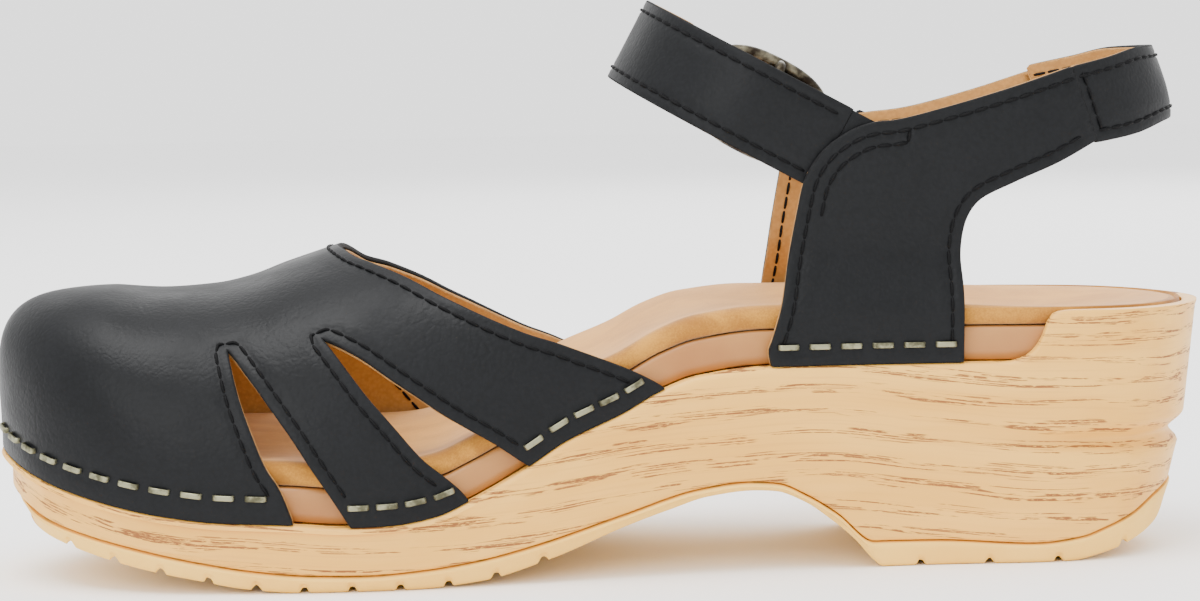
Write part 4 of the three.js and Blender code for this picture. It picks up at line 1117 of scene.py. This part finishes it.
def make_heel_strap():
    length, height = 62.0, 14.6
    us, vs = np.linspace(-1, 1, 201), np.linspace(0, 1, 31)
    xi, eta = np.meshgrid(us, vs, indexing="ij")
    start = 104.65 + (99.25 - 104.65) * eta
    x = start + (125 - start) * (1 - np.abs(xi))
    for _ in range(3):
        z = HEEL_LOW(x) + (HEEL_HIGH(x) - HEEL_LOW(x)) * eta
        rear = heel_back(z)
        first = np.arcsin(((start - CLOSING) / (rear - CLOSING)) ** (2.3 / 2))
        theta = first + (math.pi / 2 - first) * (1 - np.abs(xi))
        x = CLOSING + (rear - CLOSING) * np.sin(theta) ** (2 / 2.3)
    y = ANKLE_CENTER + np.sign(xi) * ANKLE_HALF * np.cos(theta)
    skin = Skin(us * length / 2, vs * height, np.stack([x, y, z], -1))
    skin.normals = skin.normals * np.sign(skin.normals[100, 15, 0])
    w, h = length / 2, height
    corners = np.array([(-w, 0.0), (w, 0.0), (w, h), (-w, h), (-w, 0.0)])
    outline = even(corners, 0.8)[:-1]
    probe = np.array([0.0, 7.0])
    turn = np.sign(np.cross(*skin.slopes(probe)) @ skin.normal(probe))
    low = even(np.array([(-w + 0.5, 0.0), (w - 0.5, 0.0)]), 0.8)
    high = even(np.array([(w - 0.5, h), (-w + 0.5, h)]), 0.8)
    ends = [even(np.array([(w, 1.5), (w, h - 1.5)]), 0.8), even(np.array([(-w, h - 1.5), (-w, 1.5)]), 0.8)]
    seams = [beside(skin, line, turn * STRAP_STITCH_INSET) for line in (low, high)]
    joins = [beside(skin, line, turn * JOIN_STITCH_INSET) for line in ends]
    strap = sheet("heel_strap_leather", skin, outline, BLACK, seams=[*seams, *joins])
    put(strap, "shoe", "black_leather", "heel_strap")
    layer = sheet("heel_strap_inside", skin, outline, TAN, depth=LEATHER + GAP, thick=LINING,
                  spacing=LINING_SPACING)
    put(layer, "shoe", "tan_lining", "heel_strap_lining")
    put(stitches("heel_strap_stitching", skin, [*seams, *joins], 0.0), "shoe", "black_leather")
    put(stitches("heel_strap_stitching_inside", skin, seams, INSIDE_DEPTH, outward=-1), "shoe", "tan_lining")


# ------------------------------------------------------------------ ankle strap, buckle, tab and keeper
STRAP_PATH = [
    (2.2, -ROOT_FACE), (14, -ROOT_FACE), (26, -ROOT_FACE + 0.8), (STRAP_REACH - 11, -21.6),
    (STRAP_REACH - 3.4, -12.8), (STRAP_REACH, 0), (STRAP_REACH - 3.4, 13.4), (STRAP_REACH - 11, 22.6),
    (RING_FRONT + 3, RING_PLANE - RING_WIRE - 1.5), (RING_FRONT - 3, RING_PLANE - RING_WIRE - GAP),
    (BAR_PLACE + 5, OVER_BAR + STRAP_THICKNESS - 0.7), (BAR_PLACE, OVER_BAR + STRAP_THICKNESS),
    (BAR_PLACE - 5, OVER_BAR + STRAP_THICKNESS - 0.7),
    (RING_REAR + 4.5, OVER_QUARTER + STRAP_THICKNESS + 0.1), (RING_REAR, OVER_QUARTER + STRAP_THICKNESS),
    (RING_REAR - 5, OVER_QUARTER + STRAP_THICKNESS), (-FREE_END, OVER_QUARTER + STRAP_THICKNESS)]
PRONG_HOLE = BAR_PLACE + 1.6


def ribbon(path, half_width, step=0.7):
    """The skin of a band that follows a path of u and v, across w."""
    line = even(spline(path), step)
    s = lengths(line)
    ws = np.linspace(-half_width, half_width, 25)
    u, w = np.meshgrid(line[:, 0], ws, indexing="ij")
    v, _ = np.meshgrid(line[:, 1], ws, indexing="ij")
    skin = Skin(s, ws, from_strap(u, v, w))
    tangent = np.gradient(line, axis=0)
    right = tangent[0][1] * ALONG - tangent[0][0] * OUTWARDS
    if skin.normals[0, 12] @ right < 0:
        skin.normals = -skin.normals
    return skin, line, s


def oval(center, length, width):
    angle = np.arange(28) / 28 * 2 * math.pi
    return np.column_stack([center[0] + length / 2 * np.cos(angle), center[1] + width / 2 * np.sin(angle)])


def make_ankle_strap():
    skin, line, s = ribbon(STRAP_PATH, 10)
    wide, narrow = STRAP_WIDTH / 2, STRAP_END_WIDTH / 2
    half = np.where(line[:, 1] > 0,
                    narrow + (wide - narrow) * smoothstep(line[:, 0], RING_FRONT + 4, RING_FRONT + 11), wide)
    total = s[-1]
    tip = 6.5
    half = half * np.sqrt(np.clip(1 - (np.clip(s - (total - tip), 0, tip) / tip) ** 2.2, 0, 1))
    low = np.column_stack([s, -half])
    high = np.column_stack([s, half])[::-1]
    start = np.column_stack([np.zeros(24), np.linspace(wide, -wide, 24)])[1:-1]
    outline = np.vstack([low[:-1], high, start])
    back = len(line) // 2
    holes = []
    for i in range(4):
        u = PRONG_HOLE + 7.5 * (1 - i)
        at = np.interp(-u, -line[back:, 0], s[back:])
        holes.append(oval((at, 0.0), 3.7, 2.6))
    round_tip = smooth(np.vstack([low[::6], [low[-1]], high[1::6]]), 0.7)
    probe = np.array([30.0, 0.0])
    turn = np.sign(np.cross(*skin.slopes(probe)) @ skin.normal(probe))
    row = beside(skin, round_tip, turn * STRAP_STITCH_INSET)
    row = row[row[:, 0] > 1.5]
    strap = sheet("ankle_strap_leather", skin, outline, BLACK, thick=STRAP_LEATHER, cuts=holes, seams=[row])
    layer = sheet("ankle_strap_inside", skin, outline, TAN, depth=STRAP_LEATHER + GAP, thick=LINING,
                  cuts=holes, spacing=LINING_SPACING)
    sewing = stitches("ankle_strap_stitching", skin, [row], 0.0)
    inner_sewing = stitches("ankle_strap_stitching_inside", skin, [row], STRAP_THICKNESS, outward=-1)
    start_at = Vector(packed(from_strap(2.0, -ROOT_FACE, 0)))
    end_at = Vector(packed(from_strap(15.5, -ROOT_FACE + 10.9, 0)))
    for obj, slot in ((strap, "black_leather"), (layer, "tan_lining"), (sewing, "black_leather"),
                      (inner_sewing, "tan_lining")):
        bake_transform(obj)
    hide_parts("ankle_strap")
    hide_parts("ankle_strap_lining")


def make_buckle_tab():
    outer = ROOT_FACE
    inner = outer - 2 * TAB_LEATHER - GAP
    around = [(BAR_PLACE + LOOP_RADIUS * math.cos(a), BAR_V + LOOP_RADIUS * math.sin(a))
              for a in map(math.radians, (100, 60, 20, -20, -60, -100))]
    path = [(-SEWN, outer), (2, outer), (6, outer + 0.9), (BAR_PLACE - 4.2, BAR_V + 1.6), *around,
            (BAR_PLACE - 5, inner + 0.4), (BAR_PLACE - 9, inner), (-SEWN, inner)]
    skin, line, s = ribbon(path, TAB_WIDTH / 2, step=0.5)
    skin.normals = -skin.normals
    w = TAB_WIDTH / 2
    outline = even(np.array([(0, -w), (s[-1], -w), (s[-1], w), (0, w), (0, -w)]), 0.8)[:-1]
    in_slot = np.abs(line[:, 0] - BAR_PLACE - 0.4) < LOOP_RADIUS + 2.3
    a, b = s[in_slot].min(), s[in_slot].max()
    slot_half = 1.7
    ends = np.linspace(-math.pi / 2, math.pi / 2, 9)
    right_end = np.column_stack([b - slot_half + slot_half * np.cos(ends), slot_half * np.sin(ends)])
    left_end = np.column_stack([a + slot_half - slot_half * np.cos(ends), -slot_half * np.sin(ends)])
    opening = even(np.vstack([right_end, left_end, right_end[:1]]), 0.8)[:-1]
    tab = sheet("buckle_tab_leather", skin, outline, BLACK, thick=TAB_LEATHER, cuts=[opening], spacing=1.6)
    put(tab, "shoe", "black_leather", "buckle_tab")


def make_buckle_frame():
    a, b = RING_LENGTH / 2 - RING_WIRE, RING_WIDTH / 2 - RING_WIRE
    angle = np.arange(120) / 120 * 2 * math.pi

    def bend(c):
        return np.sign(c) * np.abs(c) ** 0.77
    loop = from_strap(BAR_PLACE + a * bend(np.cos(angle)), RING_PLANE, b * bend(np.sin(angle)))
    ring = tube(loop, RING_WIRE, sides=20, closed=True)
    side = [(b, RING_PLANE), (b - 0.1, BAR_V + 1.9), (b - 0.6, BAR_V + 0.5), (b - 2, BAR_V), (b / 2, BAR_V)]
    points = smooth([*side, *[(-w, v) for w, v in side[::-1]]], 0.6)
    bar = tube(from_strap(BAR_PLACE, points[:, 1], points[:, 0]), BAR_RADIUS, sides=16)
    points, faces = merged([ring, bar])
    put(make_mesh("buckle_frame_cast", points, faces, [pewter]), "buckle", "buckle_metal", "buckle_frame")


def make_prong():
    over = RING_PLANE + RING_WIRE + GAP + 1.0
    path = [(1.0, BAR_V + 1.9), (1.35, BAR_V + 3.4), (1.9, over - 1.8), (2.9, over - 0.4), (5, over + 0.2),
            (10, over + 0.3), (RING_LENGTH / 2 - RING_WIRE, over + 0.1), (RING_LENGTH / 2 + 1.4, over - 0.5)]
    line = smooth([(BAR_PLACE + u, v) for u, v in path], 0.45)
    s = lengths(line) / lengths(line)[-1]
    radius = np.interp(s, [0, 0.12, 0.75, 0.96, 1], [1.05, 1.0, 1.0, 0.8, 0.35])
    shank = tube(from_strap(line[:, 0], line[:, 1], 0 * s), radius, sides=14)
    angle = np.arange(40) / 40 * 2 * math.pi
    middle = (BAR_RADIUS + GAP + 2.7) / 2
    thick = (2.7 - BAR_RADIUS - GAP) / 2
    eye_line = from_strap(BAR_PLACE + middle * np.cos(angle), BAR_V + middle * np.sin(angle), 0)
    around = unit(eye_line - from_strap(BAR_PLACE, BAR_V, 0))
    axis = unit(ACROSS)
    corner = np.arange(12) / 12 * 2 * math.pi
    across = 1.2 * np.sign(np.sin(corner)) * np.abs(np.sin(corner)) ** 0.6
    ring = (eye_line[:, None] + around[:, None] * (thick * np.cos(corner))[None, :, None]
            + axis[None, None] * across[None, :, None])
    eye = (ring.reshape(-1, 3), (grid_faces(41, 12, closed=True) % 480).tolist())
    points, faces = merged([shank, eye])
    put(make_mesh("prong_cast", points, faces, [pewter]), "prong", "buckle_metal", "buckle_prong")


def make_keeper():
    low = OVER_QUARTER
    high = OVER_QUARTER + STRAP_THICKNESS + GAP + KEEPER_LEATHER
    out = STRAP_END_WIDTH / 2 + GAP + KEEPER_LEATHER
    sole = low + KEEPER_LEATHER
    half = [(out + KEEPER_FOOT, sole), (out + 0.9, sole), (out + 0.15, sole + 0.5), (out, sole + 1.4),
            (out - 0.05, high - 1.1), (out - 0.5, high - 0.25), (out - 1.4, high)]
    section = smooth([*half, *[(-w, v) for w, v in half[::-1]]], 0.35)
    s = lengths(section)
    first = RING_REAR - 4 - KEEPER_LENGTH - RING_WIRE
    us = np.linspace(first, first + KEEPER_LENGTH, 12)
    v, u = np.meshgrid(section[:, 1], us, indexing="ij")
    w, _ = np.meshgrid(section[:, 0], us, indexing="ij")
    skin = Skin(s, us - first, from_strap(u, v, w))
    skin.normals = skin.normals * np.sign(skin.normals[len(s) // 2, 6] @ OUTWARDS)
    corners = np.array([(0, 0), (s[-1], 0), (s[-1], KEEPER_LENGTH), (0, KEEPER_LENGTH), (0, 0)])
    outline = even(corners, 0.7)[:-1]
    loop = sheet("keeper_leather", skin, outline, BLACK, thick=KEEPER_LEATHER, spacing=1.0)
    put(loop, "shoe", "black_leather", "keeper_loop")


# ------------------------------------------------------------------ staples
STAPLE_ROWS = [("middle_band", -51.5, -34, 4, 4.1, {}), ("rear_band", -15.5, 5.5, 5, 4.3, {1: (0, 4)}),
               ("quarter", 38, 71, 6, 4.0, {})]
TOE_STAPLES, TOE_FIRST, TOE_PITCH, TOE_STAPLE_HEIGHT = 11, 9.0, 6.6, 5.3


def find_staples():
    """Centre, direction along the foot, side, row name and node name of each staple."""
    places = []
    for side in (-1, 1):
        side_name = "inner" if side < 0 else "outer"
        for row, first, last, count, height, other in STAPLE_ROWS:
            last, count = other.get(side, (last, count))
            for i in range(count):
                x = first + (last - first) * i / (count - 1)
                before, center, after = (np.array([q, float(edge_y(q, side, 0)), float(ledge(q)) + height])
                                         for q in (x - 2, x, x + 2))
                name = f"staple_{side_name}_{row}_{i + 1}"
                places.append((center, unit(after - before), side, row, name))
        length = PLAN_LENGTH * (HEEL_SHARE if side < 0 else 1 - HEEL_SHARE)
        for i in range(TOE_STAPLES):
            share = np.array([(TOE_FIRST + i * TOE_PITCH + d) / length for d in (-2, 0, 2)])
            flat = edge(share, np.full(3, side), np.full(3, 0.0))
            p = np.column_stack([flat, ledge(flat[:, 0]) + TOE_STAPLE_HEIGHT])
            places.append((p[1], unit(p[2] - p[0]), side, "toe", f"toe_staple_{side_name}_{i + 1}"))
    return places


def staple_line(place):
    """Points along a staple's crown."""
    center, direction = place[:2]
    return np.array([center + direction * t for t in np.linspace(-2.4, 2.4, 7)])


def staple_mesh(center, direction, side):
    """A flat wire bent into two legs: x along the crown, z out of the leather."""
    outward = unit(np.array([direction[1], -direction[0], 0.0]) * -side)
    if outward[1] * side < 0 and abs(outward[1]) > 0.3:
        outward = -outward
    upward = np.cross(outward, direction)
    half = STAPLE_WIDTH / 2 - STAPLE_WIRE / 2
    bend, corner = 0.55, 0.16
    middle = STAPLE_WIRE / 2
    turn = np.linspace(0, math.pi / 2, 6)
    right = [(half - bend + bend * math.sin(t), middle - bend + bend * math.cos(t)) for t in turn]
    path = [(-x, z) for x, z in right[::-1]] + right
    path = [(-half, -STAPLE_LEG), *path, (half, -STAPLE_LEG)]
    p = np.array(path)
    t = unit(np.gradient(p, axis=0))
    n = np.column_stack([-t[:, 1], t[:, 0]])
    a, b = STAPLE_HEIGHT / 2 - corner, STAPLE_WIRE / 2 - corner
    section = []
    for cx, cy, start in ((a, b, 0), (-a, b, 90), (-a, -b, 180), (a, -b, 270)):
        for d in (0, 45, 90):
            angle = math.radians(start + d)
            section.append((cx + corner * math.cos(angle), cy + corner * math.sin(angle)))
    section = np.array(section)
    rings = (center + p[:, None, 0:1] * direction + p[:, None, 1:2] * outward
             + section[None, :, 0:1] * upward
             + section[None, :, 1:2] * (n[:, None, 0:1] * direction + n[:, None, 1:2] * outward))
    k = len(section)
    faces = grid_faces(len(p), k, closed=True).tolist()
    faces += [list(range(k))[::-1], list(range((len(p) - 1) * k, len(p) * k))]
    return rings.reshape(-1, 3), faces


def make_staples():
    for center, direction, side, _, name in staple_places:
        points, faces = staple_mesh(center, direction, side)
        piece = make_mesh(name + "_wire", points, faces, [dull_brass])
        nodes = [name] if name in frame["nodes"] else []
        put(piece, "shoe", "staple_metal", *nodes)


staple_places = find_staples()


# ------------------------------------------------------------------ studio
# Name, place, target, size in metres and power in watts.
LIGHTS = [
    ("overhead", (-0.25, -0.25, 1.1), (-0.05, 0, 0.05), 0.7, 15.0),
    ("front", (-0.6, -1.5, 0.7), (0, 0, 0.05), 0.9, 9.0),
    ("back", (0.5, 1.3, 0.9), (0, 0, 0.05), 1.0, 12.0)]
FLOOR_HALF, SKY = 3.0, 2.0


def make_studio():
    floor_look = Look("studio_floor", 0.9, specular=0.1)
    clouds = floor_look.noise(floor_look.place(), 3)
    floor_look.color(floor_look.mix(clouds, rgb(250, 250, 250), rgb(252, 252, 252)))
    mesh = bpy.data.meshes.new("studio_floor")
    corners = [(x * FLOOR_HALF, y * FLOOR_HALF, 0) for x, y in ((-1, -1), (1, -1), (1, 1), (-1, 1))]
    mesh.from_pydata(corners, [], [(0, 1, 2, 3)])
    mesh.materials.append(floor_look.material)
    floor = bpy.data.objects.new("studio_floor", mesh)
    bpy.context.scene.collection.objects.link(floor)
    for name, place, target, size, power in LIGHTS:
        data = bpy.data.lights.new(name, "AREA")
        data.shape, data.size, data.energy = "SQUARE", size, power
        lamp = bpy.data.objects.new(name, data)
        lamp.location = place
        lamp.rotation_euler = (Vector(target) - Vector(place)).to_track_quat("-Z", "Y").to_euler()
        bpy.context.scene.collection.objects.link(lamp)
    world = bpy.data.worlds.new("studio")
    world.use_nodes = True
    background = world.node_tree.nodes["Background"]
    background.inputs[0].default_value = (1, 1, 1, 1)
    background.inputs[1].default_value = SKY
    bpy.context.scene.world = world


# ------------------------------------------------------------------ assembly
make_outsole()
make_sole_body()
make_staple_frame()
make_footbed_cover()
make_vamp()
make_quarters()
make_heel_strap()
make_ankle_strap()
make_buckle_tab()
make_buckle_frame()
make_prong()
make_keeper()
make_staples()
for hidden, look in (("footbed_core", foam), ("ankle_strap_root", black)):
    node = frame["nodes"][hidden]
    node.data.materials.clear()
    node.data.materials.append(look)
make_studio()
